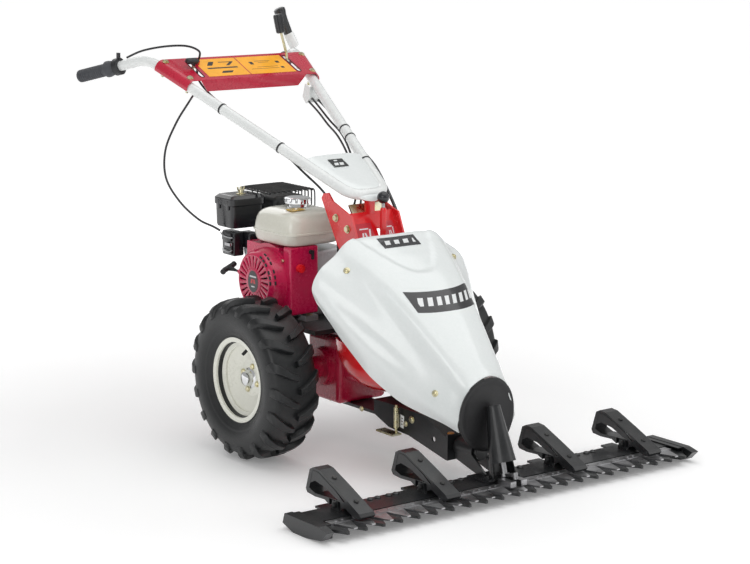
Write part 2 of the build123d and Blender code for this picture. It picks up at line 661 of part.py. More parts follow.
def handle_grips():
    def one():
        sleeve = rod(tuple(grip_axis(-4)), tuple(grip_axis(GRIP_L)), GRIP_R)
        sleeve += rod(tuple(grip_axis(GRIP_L - 30)), tuple(grip_axis(GRIP_L)), GRIP_R + 5)
        return sleeve - rod(tuple(grip_axis(0)), tuple(grip_axis(GRIP_L + 10)), TUBE_R)
    return both_sides(one)


def throttle_lever():
    near, far = grip_axis(GRIP_L + 4), grip_axis(GRIP_L + 20)
    ring = rod(tuple(near), tuple(far), 24, TUBE_R + 0.3)
    lever = block((-3, 3), (-6, 6), (20, 38))
    middle = (near + far) * 0.5
    return ring + Pos(middle.X, middle.Y, middle.Z) * lever


def console_cover():
    cover = loft([
        Plane(origin=(0, 50, 719), x_dir=(1, 0, 0), z_dir=(0, -0.87, -0.49)) * RectangleRounded(124, 26, 5),
        Plane(origin=(0, -8, 690), x_dir=(1, 0, 0), z_dir=(0, -0.87, -0.49)) * RectangleRounded(96, 26, 8),
        Plane(origin=(0, -66, 658), x_dir=(1, 0, 0), z_dir=(0, -0.87, -0.49)) * RectangleRounded(60, 20, 9),
    ])
    return cover


parts["handlebar"] = handlebar()
parts["control_panel"] = control_panel()
parts["panel_bolts"] = panel_bolts()
parts["handle_grips"] = handle_grips()
parts["throttle_lever"] = throttle_lever()
parts["console_cover"] = console_cover()


def slot_lever():
    """Short lever in the right-hand slot with a T-shaped head."""
    solid = rod((-SLOT_X, 70, -30), (-SLOT_X, 70, 16), 4) + block((-SLOT_X - 14, -SLOT_X + 14), (60, 80), (14, 26), 3)
    solid += disc_x((-SLOT_X - 6, -SLOT_X + 6), 70, -30, 8)
    return on_panel(solid)


def bar_clutch_lever():
    """Long bright rod in the left-hand slot with a ribbed grip; engages the cutter bar."""
    knee = (SLOT_X, 509, 985)
    solid = on_panel(disc_x((SLOT_X - 6, SLOT_X + 6), 66, -30, 8))
    solid += rod((SLOT_X, 501, 932), knee, 4) + Pos(*knee) * Sphere(4) + rod(knee, (147, 518, 1046), 4)
    return solid + rod((147, 517, 1042), (141, 524, 1094), 13)


def drive_lever():
    """Upright lever with a moulded grip, clamped on the left tube behind the panel; drives the wheels."""
    foot, top = Vector(235, 575, 994), Vector(190, 590, 1104)
    along = (top - foot).normalized()
    solid = rod(tuple(foot), tuple(foot + along * 40), 15)
    solid += rod(tuple(foot + along * 34), tuple(top), 12.5) + rod(tuple(top - along * 14), tuple(top), 15)
    return solid + disc_x((218, 252), *DRIVE_PIVOT, 8)


def gear_lever():
    solid = disc_x((GEAR_X - 8.5, GEAR_X + 8.5), *GEAR_PIVOT, 10)
    solid += rod((GEAR_X, -135, 540), (GEAR_X, -135, 640), 8) + rod((GEAR_X, -135, 640), (GEAR_X, -134, 652), 4)
    return solid + Pos(GEAR_X, -134, 666) * Sphere(16)


parts["slot_lever"] = slot_lever()
parts["bar_clutch_lever"] = bar_clutch_lever()
parts["drive_lever"] = drive_lever()
parts["gear_lever"] = gear_lever()
parts["release_pedal"] = block((-72, -43), (-292, -222), (80, 85)) + rod((-51, -281, 84), (-51, -281, 158), 4) + (
    rod((-51, -281, 98), (-51, -281, 152), 7))


def frame_bolts():
    bolts = [hex_bolt((x, -231, 473), (x * 0.5, -60, 50), 14, 5, 10, 4) for x in (-172, 172)]
    for side in (-1, 1):
        bolts += [hex_bolt((side * (BRACKET_X[1] + 0.2), y, z), (side, 0, 0), 14, 6, 0.15, 4)
                  for y, z in ((-55, 611), (-105, 588))]
    bolts += [hex_bolt((x, y, 337.2), (0, 0, 1), 13, 6, 0.1, 4) for x in (-80, 28) for y in (59, 221)]
    return group(bolts)


parts["frame_bolts"] = frame_bolts()

# ---- control cables, each held along its whole run ----
CABLE_R = 3.0
THICK_CABLE_R = 4.5
CABLE_RIGHT = (
    [(-156, 480, 902), (-198, 456, 872), (-231, 470, 815), (-247, 500, 740), (-251, 492, 665), (-236, 446, 604),
     (-208, 398, 560), (-185, 362, 543), (-173, 345, 533)],
    [(-272, 656, 981.5), (-238, 628, 1001), (-196, 580, 1014), (-158, 530, 1017), (-140, 492, 1004),
     (-138, 500.8, 978.5)],
    [(-138, 507, 962.6), (-138, 500, 926), (-130, 452, 888), (-118, 376, 852), (-112, 300, 818), (-109, 226, 788),
     (-104, 152, 765), (-90, 76, 718), (-66, 8, 664), (-56, -22, 606), (-58, -36, 545), (-61, -43, 480),
     (-60, -45, 415), (-60, -46, 352.2)],
)
CABLE_LEFT = (
    [(184, 416, 863), (170, 360, 842), (158, 300, 816), (142, 222, 787), (116, 150, 752), (84, 80, 708),
     (44, 18, 664), (4, -16, 612), (-24, -32, 548), (-35, -40, 484), (-36, -44, 418), (-36, -46, 352.2)],
    [(172, 416, 855), (159, 352, 832), (146, 290, 805), (130, 222, 781), (108, 150, 744), (84, 82, 694),
     (60, 24, 652), (31, -14, 620), (9, -34, 570), (-5, -43, 510), (-10, -46, 445), (-12, -46.5, 352.2)],
)
THICK_CABLE = [(206, 415.4, 857), (197, 350, 832), (184, 272, 798), (163, 190, 766), (140, 110, 742), (120, 36, 716),
               (104, -32, 670), (92, -90, 618), (85, -128, 560), (84, -144, 490), (84, -148, 410), (84, -149, 317.2)]


def cables(routes, radius=CABLE_R):
    return [tube_path(points, arc_radii(points), radius) for points in routes]


parts["cables_right"] = group(cables(CABLE_RIGHT))
parts["cables_left"] = group(cables(CABLE_LEFT) + cables([THICK_CABLE], THICK_CABLE_R))

# ---- write, with the origin under the middle of the whole machine ----
boxes = [shape.bounding_box() for shape in parts.values()]
middle_y = (min(b.min.Y for b in boxes) + max(b.max.Y for b in boxes)) / 2
print("middle of the length", round(middle_y, 3), "lowest point", round(min(b.min.Z for b in boxes), 4))
for route in CABLE_RIGHT + CABLE_LEFT + (THICK_CABLE,):
    length = FilletPolyline(*route, radius=arc_radii(route)).length
    print("cable length", round(length), "arc radii", [round(r) for r in arc_radii(route)])
os.makedirs("parts", exist_ok=True)
for name, shape in parts.items():
    export_step(Pos(0, -ORIGIN_Y, 0) * shape, f"parts/{name}.step")
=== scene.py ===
import json
import math

import bmesh
import bpy
from mathutils import Matrix, Vector


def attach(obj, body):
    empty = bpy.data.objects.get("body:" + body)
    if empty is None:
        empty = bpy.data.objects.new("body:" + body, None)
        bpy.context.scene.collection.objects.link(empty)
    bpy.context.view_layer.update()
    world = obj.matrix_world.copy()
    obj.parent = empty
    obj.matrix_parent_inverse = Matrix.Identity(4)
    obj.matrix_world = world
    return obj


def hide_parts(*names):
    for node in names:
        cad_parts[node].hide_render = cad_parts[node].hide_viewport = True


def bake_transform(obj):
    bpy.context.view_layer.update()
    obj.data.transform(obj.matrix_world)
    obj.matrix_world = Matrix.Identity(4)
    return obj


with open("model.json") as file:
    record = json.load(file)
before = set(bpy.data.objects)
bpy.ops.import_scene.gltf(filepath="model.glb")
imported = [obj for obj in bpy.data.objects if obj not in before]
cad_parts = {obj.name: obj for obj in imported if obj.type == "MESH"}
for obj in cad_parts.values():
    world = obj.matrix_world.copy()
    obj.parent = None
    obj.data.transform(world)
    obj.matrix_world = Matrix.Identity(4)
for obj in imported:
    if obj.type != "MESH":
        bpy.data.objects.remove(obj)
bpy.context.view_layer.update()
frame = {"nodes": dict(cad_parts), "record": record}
nodes = frame["nodes"]
scene = bpy.context.scene

# Sizes below are millimetres measured from the wheel axle: x across, y back, z up from the ground.
AXLE_Y = 40.4
TYRE_R, TRACK, AXLE_Z = 210.0, 592.0, 210.0
CRANK = (137.0, 429.0)
TUBE_FOOT, TUBE_BEND, TUBE_END = (53.8, -92, 672), (244, 590, 981), (335, 800, 923)
PANEL_FRONT, PANEL_SLOPE = (429.0, 933.0), math.radians(24.05)
X_AXIS, Y_AXIS, Z_AXIS = Vector((1, 0, 0)), Vector((0, 1, 0)), Vector((0, 0, 1))


def at(x, y, z):
    """A point in metres in the shared frame."""
    return Vector((x, y - AXLE_Y, z)) / 1000


# ---------------------------------------------------------------- shader groups
def new_group(name, inputs, outputs):
    tree = bpy.data.node_groups.new(name, "ShaderNodeTree")
    for label, kind, value in inputs:
        socket = tree.interface.new_socket(label, in_out="INPUT", socket_type=kind)
        socket.default_value = value
    for label, kind in outputs:
        tree.interface.new_socket(label, in_out="OUTPUT", socket_type=kind)
    return tree, tree.nodes.new("NodeGroupInput"), tree.nodes.new("NodeGroupOutput")


def noise(tree, vector, scale, detail=3.0, rough=0.55):
    node = tree.nodes.new("ShaderNodeTexNoise")
    node.inputs["Detail"].default_value = detail
    node.inputs["Roughness"].default_value = rough
    tree.links.new(vector, node.inputs["Vector"])
    if isinstance(scale, (int, float)):
        node.inputs["Scale"].default_value = scale
    else:
        tree.links.new(scale, node.inputs["Scale"])
    return node


def spread(tree, value, low, high, to_low=0.0, to_high=1.0):
    node = tree.nodes.new("ShaderNodeMapRange")
    tree.links.new(value, node.inputs["Value"])
    for label, item in (("From Min", low), ("From Max", high), ("To Min", to_low), ("To Max", to_high)):
        if isinstance(item, (int, float)):
            node.inputs[label].default_value = item
        else:
            tree.links.new(item, node.inputs[label])
    return node.outputs["Result"]


def blend_colour(tree, factor, first, second):
    node = tree.nodes.new("ShaderNodeMix")
    node.data_type = "RGBA"
    for socket, item in ((node.inputs[0], factor), (node.inputs[6], first), (node.inputs[7], second)):
        if isinstance(item, (int, float)):
            socket.default_value = item
        elif isinstance(item, (tuple, list)):
            socket.default_value = (*item[:3], 1.0)
        else:
            tree.links.new(item, socket)
    return node.outputs[2]


def combine(tree, operation, *items):
    node = tree.nodes.new("ShaderNodeMath")
    node.operation = operation
    for socket, item in zip(node.inputs, items):
        if isinstance(item, (int, float)):
            socket.default_value = item
        else:
            tree.links.new(item, socket)
    return node.outputs[0]


def mottle_group():
    """Slow tone change over a piece with a finer speckle on top: colour, and a 0 to 1 mask."""
    tree, inner, outer = new_group(
        "tone_mottle",
        [("Tone A", "NodeSocketColor", (1, 1, 1, 1)), ("Tone B", "NodeSocketColor", (0, 0, 0, 1)),
         ("Broad Scale", "NodeSocketFloat", 8.0), ("Fine Scale", "NodeSocketFloat", 120.0)],
        [("Colour", "NodeSocketColor"), ("Mask", "NodeSocketFloat")])
    place = tree.nodes.new("ShaderNodeTexCoord").outputs["Object"]
    broad = noise(tree, place, inner.outputs["Broad Scale"], 4)
    fine = noise(tree, place, inner.outputs["Fine Scale"], 2)
    both = combine(tree, "MULTIPLY_ADD", fine.outputs["Fac"], 0.35, combine(
        tree, "MULTIPLY", broad.outputs["Fac"], 0.65))
    mask = spread(tree, both, 0.36, 0.64)
    tree.links.new(blend_colour(tree, mask, inner.outputs["Tone A"], inner.outputs["Tone B"]),
                   outer.inputs["Colour"])
    tree.links.new(mask, outer.inputs["Mask"])
    return tree


def grime_group():
    """Dust that settles on what faces up."""
    tree, inner, outer = new_group(
        "settled_dust",
        [("Colour", "NodeSocketColor", (1, 1, 1, 1)), ("Dust", "NodeSocketColor", (0.3, 0.28, 0.25, 1)),
         ("Amount", "NodeSocketFloat", 0.2)],
        [("Colour", "NodeSocketColor"), ("Mask", "NodeSocketFloat")])
    normal = tree.nodes.new("ShaderNodeNewGeometry").outputs["Normal"]
    split = tree.nodes.new("ShaderNodeSeparateXYZ")
    tree.links.new(normal, split.inputs[0])
    up = spread(tree, split.outputs["Z"], 0.1, 1.0)
    place = tree.nodes.new("ShaderNodeTexCoord").outputs["Object"]
    patch = spread(tree, noise(tree, place, 26.0, 5).outputs["Fac"], 0.4, 0.72)
    mask = combine(tree, "MULTIPLY", combine(tree, "MULTIPLY", up, patch), inner.outputs["Amount"])
    tree.links.new(blend_colour(tree, mask, inner.outputs["Colour"], inner.outputs["Dust"]),
                   outer.inputs["Colour"])
    tree.links.new(mask, outer.inputs["Mask"])
    return tree


def relief_group():
    """Height of a moulded, cast or sprayed surface: coarse cells plus a fine grain."""
    tree, inner, outer = new_group(
        "surface_relief",
        [("Cell Scale", "NodeSocketFloat", 200.0), ("Grain Scale", "NodeSocketFloat", 900.0),
         ("Cells", "NodeSocketFloat", 0.5)],
        [("Height", "NodeSocketFloat")])
    place = tree.nodes.new("ShaderNodeTexCoord").outputs["Object"]
    cells = tree.nodes.new("ShaderNodeTexVoronoi")
    cells.feature = "SMOOTH_F1"
    tree.links.new(place, cells.inputs["Vector"])
    tree.links.new(inner.outputs["Cell Scale"], cells.inputs["Scale"])
    grain = noise(tree, place, inner.outputs["Grain Scale"], 2)
    height = combine(tree, "MULTIPLY_ADD", cells.outputs["Distance"], inner.outputs["Cells"],
                     grain.outputs["Fac"])
    tree.links.new(height, outer.inputs["Height"])
    return tree


MOTTLE, GRIME, RELIEF = mottle_group(), grime_group(), relief_group()


def shader(name):
    material = bpy.data.materials.new(name)
    material.use_nodes = True
    tree = material.node_tree
    return material, tree, tree.nodes["Principled BSDF"]


def placed(tree, group, **values):
    node = tree.nodes.new("ShaderNodeGroup")
    node.node_tree = group
    for label, value in values.items():
        socket = node.inputs[label.replace("_", " ")]
        socket.default_value = (*value, 1.0) if isinstance(value, tuple) else value
    return node


def finish(name, tone_a, tone_b, rough=(0.3, 0.45), metal=0.0, coat=0.0, cells=(220.0, 900.0, 0.5),
           bump=0.05, broad=9.0, fine=140.0, dust=0.12, dust_tone=(0.35, 0.33, 0.29), specular=0.5):
    """A paint, metal, rubber or plastic: mottled tone, a little dust, uneven gloss and fine relief."""
    material, tree, surface = shader(name)
    tone = placed(tree, MOTTLE, Tone_A=tone_a, Tone_B=tone_b, Broad_Scale=broad, Fine_Scale=fine)
    film = placed(tree, GRIME, Dust=dust_tone, Amount=dust)
    relief = placed(tree, RELIEF, Cell_Scale=cells[0], Grain_Scale=cells[1], Cells=cells[2])
    tree.links.new(tone.outputs["Colour"], film.inputs["Colour"])
    tree.links.new(film.outputs["Colour"], surface.inputs["Base Color"])
    gloss = spread(tree, tone.outputs["Mask"], 0.0, 1.0, rough[0], rough[1])
    dulled = combine(tree, "ADD", gloss, combine(tree, "MULTIPLY", film.outputs["Mask"], 0.4))
    tree.links.new(dulled, surface.inputs["Roughness"])
    height = tree.nodes.new("ShaderNodeBump")
    height.inputs["Strength"].default_value = bump
    height.inputs["Distance"].default_value = 0.001
    tree.links.new(relief.outputs["Height"], height.inputs["Height"])
    tree.links.new(height.outputs["Normal"], surface.inputs["Normal"])
    surface.inputs["Metallic"].default_value = metal
    surface.inputs["Coat Weight"].default_value = coat
    surface.inputs["Coat Roughness"].default_value = 0.08
    surface.inputs["Specular IOR Level"].default_value = specular
    return material


FINISH = {
    "tyre": finish("tyre_rubber", (0.006, 0.007, 0.008), (0.015, 0.016, 0.017), (0.30, 0.46), bump=0.25,
                   cells=(420.0, 1500.0, 0.4), dust=0.10, dust_tone=(0.12, 0.12, 0.11)),
    "cream_paint": finish("cream_enamel", (0.80, 0.80, 0.71), (0.86, 0.86, 0.78), (0.25, 0.36), coat=0.3,
                          dust=0.05),
    "zinc": finish("yellow_zinc", (0.62, 0.55, 0.30), (0.72, 0.70, 0.55), (0.22, 0.38), metal=1.0, broad=30.0),
    "dark_red_paint": finish("crimson_cast_enamel", (0.40, 0.004, 0.035), (0.48, 0.008, 0.05), (0.2, 0.34),
                             coat=0.6, bump=0.22, cells=(140.0, 500.0, 0.8), dust=0.04),
    "red_paint": finish("red_powder_coat", (0.72, 0.006, 0.012), (0.80, 0.010, 0.016), (0.16, 0.28), coat=0.6,
                        bump=0.08, dust=0.03),
    "crimson_paint": finish("crimson_powder_coat", (0.48, 0.003, 0.028), (0.55, 0.006, 0.04), (0.2, 0.3),
                            coat=0.5, bump=0.08, dust=0.03),
    "black_paint": finish("black_powder_coat", (0.008, 0.009, 0.010), (0.018, 0.019, 0.021), (0.28, 0.42),
                          coat=0.25, bump=0.16, cells=(300.0, 1200.0, 0.7), dust=0.05),
    "white_hood": finish("white_moulding", (0.79, 0.83, 0.82), (0.84, 0.87, 0.865), (0.16, 0.24), coat=0.5,
                         bump=0.02, broad=5.0, dust=0.02),
    "white_paint": finish("white_powder_coat", (0.78, 0.80, 0.79), (0.84, 0.86, 0.85), (0.2, 0.32), coat=0.4,
                          bump=0.05, dust=0.03),
    "black_plastic": finish("black_moulding", (0.010, 0.011, 0.013), (0.020, 0.021, 0.024), (0.32, 0.48),
                            bump=0.22, cells=(700.0, 2200.0, 0.5), dust=0.05),
    "black_rubber": finish("soft_rubber", (0.010, 0.010, 0.011), (0.022, 0.022, 0.024), (0.45, 0.62), bump=0.2,
                           cells=(600.0, 1800.0, 0.4), dust=0.05),
    "grip_rubber": finish("grey_grip_rubber", (0.045, 0.048, 0.055), (0.075, 0.08, 0.09), (0.5, 0.65), bump=0.3,
                          cells=(500.0, 1600.0, 0.4)),
    "cast_aluminium": finish("cast_aluminium", (0.46, 0.47, 0.48), (0.58, 0.59, 0.60), (0.42, 0.6), metal=0.9,
                             bump=0.4, cells=(180.0, 700.0, 0.8), dust=0.15),
    "steel": finish("ground_steel", (0.38, 0.38, 0.39), (0.55, 0.55, 0.56), (0.25, 0.42), metal=1.0,
                    bump=0.12, broad=25.0, fine=500.0),
    "chrome": finish("bright_chrome", (0.72, 0.73, 0.74), (0.82, 0.83, 0.84), (0.05, 0.12), metal=1.0, bump=0.01,
                     dust=0.03),
    "cream_plastic": finish("cream_tank_enamel", (0.70, 0.69, 0.60), (0.77, 0.76, 0.68), (0.14, 0.24), coat=0.6,
                            bump=0.03, dust=0.05),
    "engine_red": finish("engine_crimson", (0.56, 0.006, 0.07), (0.64, 0.012, 0.09), (0.2, 0.32), coat=0.4,
                         bump=0.06, dust=0.03),
    "red_plastic": finish("red_moulding", (0.74, 0.008, 0.015), (0.82, 0.012, 0.02), (0.2, 0.3), coat=0.3),
    "black_steel": finish("heat_black_wire", (0.014, 0.015, 0.016), (0.028, 0.029, 0.030), (0.3, 0.5), metal=0.3,
                          bump=0.15),
    "amber": finish("amber_bush", (0.62, 0.22, 0.04), (0.72, 0.32, 0.08), (0.25, 0.4), coat=0.2),
    "gloss_black": finish("gloss_black_moulding", (0.006, 0.007, 0.009), (0.012, 0.013, 0.016), (0.16, 0.28), bump=0.06,
                          cells=(700.0, 2200.0, 0.5), dust=0.03, coat=0.3),
    "silver_paint": finish("grey_plate", (0.40, 0.42, 0.44), (0.50, 0.52, 0.54), (0.3, 0.45), metal=0.6),
}


# ---------------------------------------------------------------- mesh tools
def as_piece(name, mesh_data, body, finish_name, smooth=35.0):
    piece = bpy.data.objects.new(name, mesh_data)
    scene.collection.objects.link(piece)
    mesh_data.materials.append(FINISH[finish_name] if isinstance(finish_name, str) else finish_name)
    if smooth is not None:
        mesh_data.shade_smooth()
        mesh_data.set_sharp_from_angle(angle=math.radians(smooth))
    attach(piece, body)
    return piece


def mesh_of(name, points, faces):
    mesh = bpy.data.meshes.new(name)
    mesh.from_pydata([tuple(p) for p in points], [], faces)
    work = bmesh.new()
    work.from_mesh(mesh)
    bmesh.ops.recalc_face_normals(work, faces=work.faces)
    work.to_mesh(mesh)
    work.free()
    mesh.update()
    return mesh


def joined(meshes):
    """Several meshes as one."""
    work = bmesh.new()
    for mesh in meshes:
        work.from_mesh(mesh)
    result = bpy.data.meshes.new("joined")
    work.to_mesh(result)
    work.free()
    return result


def rings_to_mesh(rings, closed=True, caps=True):
    """Skins a list of equal rings of points."""
    points = [p for ring in rings for p in ring]
    n = len(rings[0])
    faces = []
    for i in range(len(rings) - 1):
        for j in range(n if closed else n - 1):
            k = (j + 1) % n
            faces.append((i * n + j, i * n + k, (i + 1) * n + k, (i + 1) * n + j))
    if caps:
        faces.append(tuple(reversed(range(n))))
        faces.append(tuple(range((len(rings) - 1) * n, len(rings) * n)))
    return mesh_of("skin", points, faces)


def smooth_line(points, steps=6):
    """Points of a soft line through the given ones."""
    line = []
    for i in range(len(points) - 1):
        a, b, c, d = (Vector(points[max(0, min(len(points) - 1, i + k))]) for k in (-1, 0, 1, 2))
        for j in range(steps):
            t = j / steps
            line.append(0.5 * ((2 * b) + (c - a) * t + (2 * a - 5 * b + 4 * c - d) * t * t
                               + (3 * b - a - 3 * c + d) * t ** 3))
    line.append(Vector(points[-1]))
    return line


def frame_on(direction):
    """Two directions square to the given one."""
    d = Vector(direction).normalized()
    side = d.cross(Z_AXIS if abs(d.z) < 0.95 else X_AXIS).normalized()
    return side, side.cross(d).normalized()


def lathe(profile, origin, axis, segments=48, caps=True):
    """Turns (along, radius) pairs about an axis through the origin, both in millimetres."""
    d = Vector(axis).normalized()
    side, up = frame_on(d)
    rings = []
    for along, radius in profile:
        rings.append([(Vector(origin) + d * along + (side * math.cos(a) + up * math.sin(a)) * max(radius, 0.01))
                      for a in (2 * math.pi * k / segments for k in range(segments))])
    return rings_to_mesh([[at(*p) for p in ring] for ring in rings], caps=caps)


def rounded_block(x, y, z, radius, turn=None, segments=3):
    """A box with all its edges rounded; turn is a matrix about its centre."""
    work = bmesh.new()
    bmesh.ops.create_cube(work, size=1.0)
    size = Vector((x[1] - x[0], y[1] - y[0], z[1] - z[0]))
    bmesh.ops.scale(work, vec=size / 1000, verts=work.verts)
    if radius:
        bmesh.ops.bevel(work, geom=work.edges[:], offset=min(radius, min(size) * 0.49) / 1000,
                        segments=segments, profile=0.5, affect="EDGES")
    if turn is not None:
        bmesh.ops.transform(work, matrix=turn.to_4x4(), verts=work.verts)
    centre = at((x[0] + x[1]) / 2, (y[0] + y[1]) / 2, (z[0] + z[1]) / 2)
    bmesh.ops.translate(work, vec=centre, verts=work.verts)
    mesh = bpy.data.meshes.new("block")
    work.to_mesh(mesh)
    work.free()
    return mesh


def wire(points, radius, sides=10, steps=5, smooth=True):
    """A round wire or cable through the points."""
    line = smooth_line(points, steps) if smooth else [Vector(p) for p in points]
    rings, side = [], None
    for i, p in enumerate(line):
        d = (line[min(i + 1, len(line) - 1)] - line[max(i - 1, 0)]).normalized()
        if side is None:
            side, up = frame_on(d)
        side = (side - d * side.dot(d)).normalized()
        up = d.cross(side)
        rings.append([at(*(p + (side * math.cos(a) + up * math.sin(a)) * radius))
                      for a in (2 * math.pi * k / sides for k in range(sides))])
    return rings_to_mesh(rings)


def bevelled(piece, width, segments=2, angle=30.0):
    modifier = piece.modifiers.new("soft_edges", "BEVEL")
    modifier.width = width / 1000
    modifier.segments = segments
    modifier.limit_method = "ANGLE"
    modifier.angle_limit = math.radians(angle)
    modifier.harden_normals = True
    return piece


def hex_head(point, axis, across, height, washer=0.0):
    """A hexagon head with a chamfered top and its washer."""
    r = across / math.sqrt(3)
    top = lathe([(0, r), (height * 0.8, r), (height, r * 0.86), (height + 0.01, 0.1)], point, axis, 6)
    if not washer:
        return top
    ring = lathe([(-0.2, washer * 0.96), (0, washer), (1.2, washer), (1.5, washer * 0.95), (1.5, 0.1)], point, axis, 24)
    return joined([top, ring])


def domed_bolt(point, axis, radius):
    """A dished washer with a domed socket head."""
    washer = lathe([(0, radius), (0.8, radius), (1.6, radius * 0.86), (1.8, radius * 0.6)], point, axis, 28)
    dome = lathe([(1, radius * 0.6), (3, radius * 0.58), (4.6, radius * 0.42), (5, radius * 0.22), (3.6, radius * 0.2),
                  (3.6, 0.1)], point, axis, 24)
    return joined([washer, dome])


# ---------------------------------------------------------------- wheels
LUGS = 18


def tyre_profile():
    outer = [(-49, 101.5), (-51.5, 106), (-54, 112), (-58, 118), (-63, 128), (-68.5, 142), (-70.5, 156), (-69, 172),
             (-64.5, 184), (-56, 191), (-38, 194.5), (-14, 195.5), (0, 195.5)]
    line = [(p.x, p.y) for p in smooth_line([(x, r, 0) for x, r in outer], 4)]
    ridge = []
    for x, r in line:
        step = 1.3 if 126 < r < 130 and x < -50 else 0
        ridge.append((x - step, r))
    whole = ridge + [(-x, r) for x, r in reversed(ridge[:-1])]
    inner = [(46, 96), (30, 94), (-30, 94), (-46, 96)]
    return whole + inner


def lug(index, side, centre_x):
    """One curved bar of the open chevron tread, from the middle out over the shoulder."""
    path = [(1.5, 209.4, 0.000, 7.0), (14, 209.6, -0.020, 7.6), (30, 209.2, -0.062, 8.4), (46, 207.0, -0.115, 9.4),
            (58, 202.5, -0.155, 10.4), (66, 195.0, -0.180, 11.2), (70.2, 184.0, -0.192, 11.4), (71.6, 172.0, -0.196, 9.6)]
    turn = 2 * math.pi / LUGS * (index + (0.5 if side > 0 else 0.0))
    rings = []
    for i, (x, r, lead, half) in enumerate(path):
        ahead = path[min(i + 1, len(path) - 1)]
        behind = path[max(i - 1, 0)]
        slope = math.atan2((ahead[2] - behind[2]) * -r, ahead[0] - behind[0])
        wide = half / max(math.cos(slope), 0.55) if i < 6 else half
        depth = 17.0 if r > 190 else 10.0
        pull = 0.0 if x < 60 else (x - 60) * 0.9
        ring = []
        for across, down, out in ((-1.22, depth, 0), (-1.0, 1.6, 0), (-0.86, 0, 0), (0.86, 0, 0), (1.0, 1.6, 0),
                                  (1.22, depth, 0)):
            angle = turn + lead + across * wide / r
            radius = r - down * (1 if i < 6 else 0.35)
            sink = down * 0.9 if i >= 5 else 0
            ring.append(at(centre_x + side * (x - sink * (0.55 if x > 60 else 0)), -radius * math.sin(angle),
                           AXLE_Z + radius * math.cos(angle)))
        rings.append(ring)
    return rings_to_mesh(rings)


def tyre(hand, side):
    cx = side * TRACK / 2
    profile = [(x * -side, r) for x, r in tyre_profile()]
    profile.append(profile[0])
    carcass = lathe(profile, (cx, 0, AXLE_Z), (1, 0, 0), 144, caps=False)
    bars = [lug(i, s, cx) for i in range(LUGS) for s in (-1, 1)]
    carcass_piece = as_piece(f"tyre_carcass_{hand}", carcass, f"wheel_{hand}", "tyre", smooth=50)
    lugs_piece = as_piece(f"tyre_lugs_{hand}", joined(bars), f"wheel_{hand}", "tyre", smooth=40)
    bevelled(lugs_piece, 1.4, 2, 35)
    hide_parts(f"tyre_{hand}")
    rings = [lathe([(side * 52.5, 109), (side * 55.2, 110.5), (side * 55.2, 112.5), (side * 53, 114)],
                   (cx, 0, AXLE_Z), (1, 0, 0), 96, caps=False)]
    as_piece(f"bead_ring_{hand}", joined(rings), f"wheel_{hand}", "tyre", smooth=50)


def rim_details(hand, side):
    """Air valve, dust cap over the axle end, hub bolts and the rolled rim edge."""
    cx = side * TRACK / 2
    place = Vector((cx, 0, AXLE_Z))

    def spot(x, r, degrees):
        a = math.radians(degrees)
        return (cx + side * x, -r * math.sin(a), AXLE_Z + r * math.cos(a))
    valve = [wire([spot(31, 84, 14), spot(38, 79, 14), spot(47, 70, 14)], 4.2, 16, 3),
             wire([spot(30, 87, 14), spot(35, 82.5, 14)], 6.5, 16, 2)]
    as_piece(f"air_valve_{hand}", joined(valve), f"wheel_{hand}", "black_rubber")
    cap = lathe([(12, 27), (14, 27), (15, 24), (17, 21), (26, 19.5), (31, 17), (33.5, 12), (34, 0.1)], place,
                (side, 0, 0), 40)
    cap_piece = as_piece(f"hub_cap_{hand}", cap, f"wheel_{hand}", "chrome")
    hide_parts(f"wheel_bolts_{hand}")
    bolts = [hex_head(spot(12, 33, 90 * i + 19), (side, 0, 0), 12, 5, 8) for i in range(4)]
    as_piece(f"hub_bolts_{hand}", joined(bolts), f"wheel_{hand}", "zinc", smooth=25)
    edge = lathe([(side * 50, 111.5), (side * 53, 113.0), (side * 54.6, 111.0), (side * 54, 107.0), (side * 51, 102.5),
                  (side * 44, 99.5), (side * 37.5, 97.5), (side * 35.5, 93), (side * 33.4, 87.0), (side * 31, 85.5)],
                 place, (1, 0, 0), 120, caps=False)
    as_piece(f"rolled_edge_{hand}", edge, f"wheel_{hand}", "cream_paint", smooth=60)


for hand, side in (("right", -1), ("left", 1)):
    tyre(hand, side)
    rim_details(hand, side)

# ---------------------------------------------------------------- hood
# station: y, crown z, then x, z of the shoulder, the flank's middle, the widest point and the lower edge
HOOD = (
    (-187, 582, (123, 580), (180, 541), (226, 509), (248, 466), (232, 424)),
    (-215, 568, (122, 563), (176, 521), (221, 484), (240, 436), (222, 392)),
    (-250, 549, (119, 541), (167, 495), (209, 451), (223, 404), (207, 346)),
    (-290, 525, (113, 514), (155, 463), (193, 414), (206, 362), (192, 303)),
    (-330, 499, (106, 485), (144, 429), (178, 378), (190, 325), (177, 262)),
    (-370, 469, (99, 452), (132, 393), (161, 343), (172, 290), (158, 230)),
    (-410, 437, (92, 417), (120, 357), (145, 308), (154, 258), (141, 205)),
    (-450, 402, (84, 380), (108, 322), (129, 275), (137, 230), (124, 189)),
    (-490, 365, (75, 342), (96, 289), (113, 246), (120, 208), (109, 177)),
    (-530, 326, (66, 303), (84, 258), (99, 220), (106, 190), (96, 166)),
    (-572, 284, (56, 262), (71, 226), (85, 196), (92, 172), (85, 152)),
)


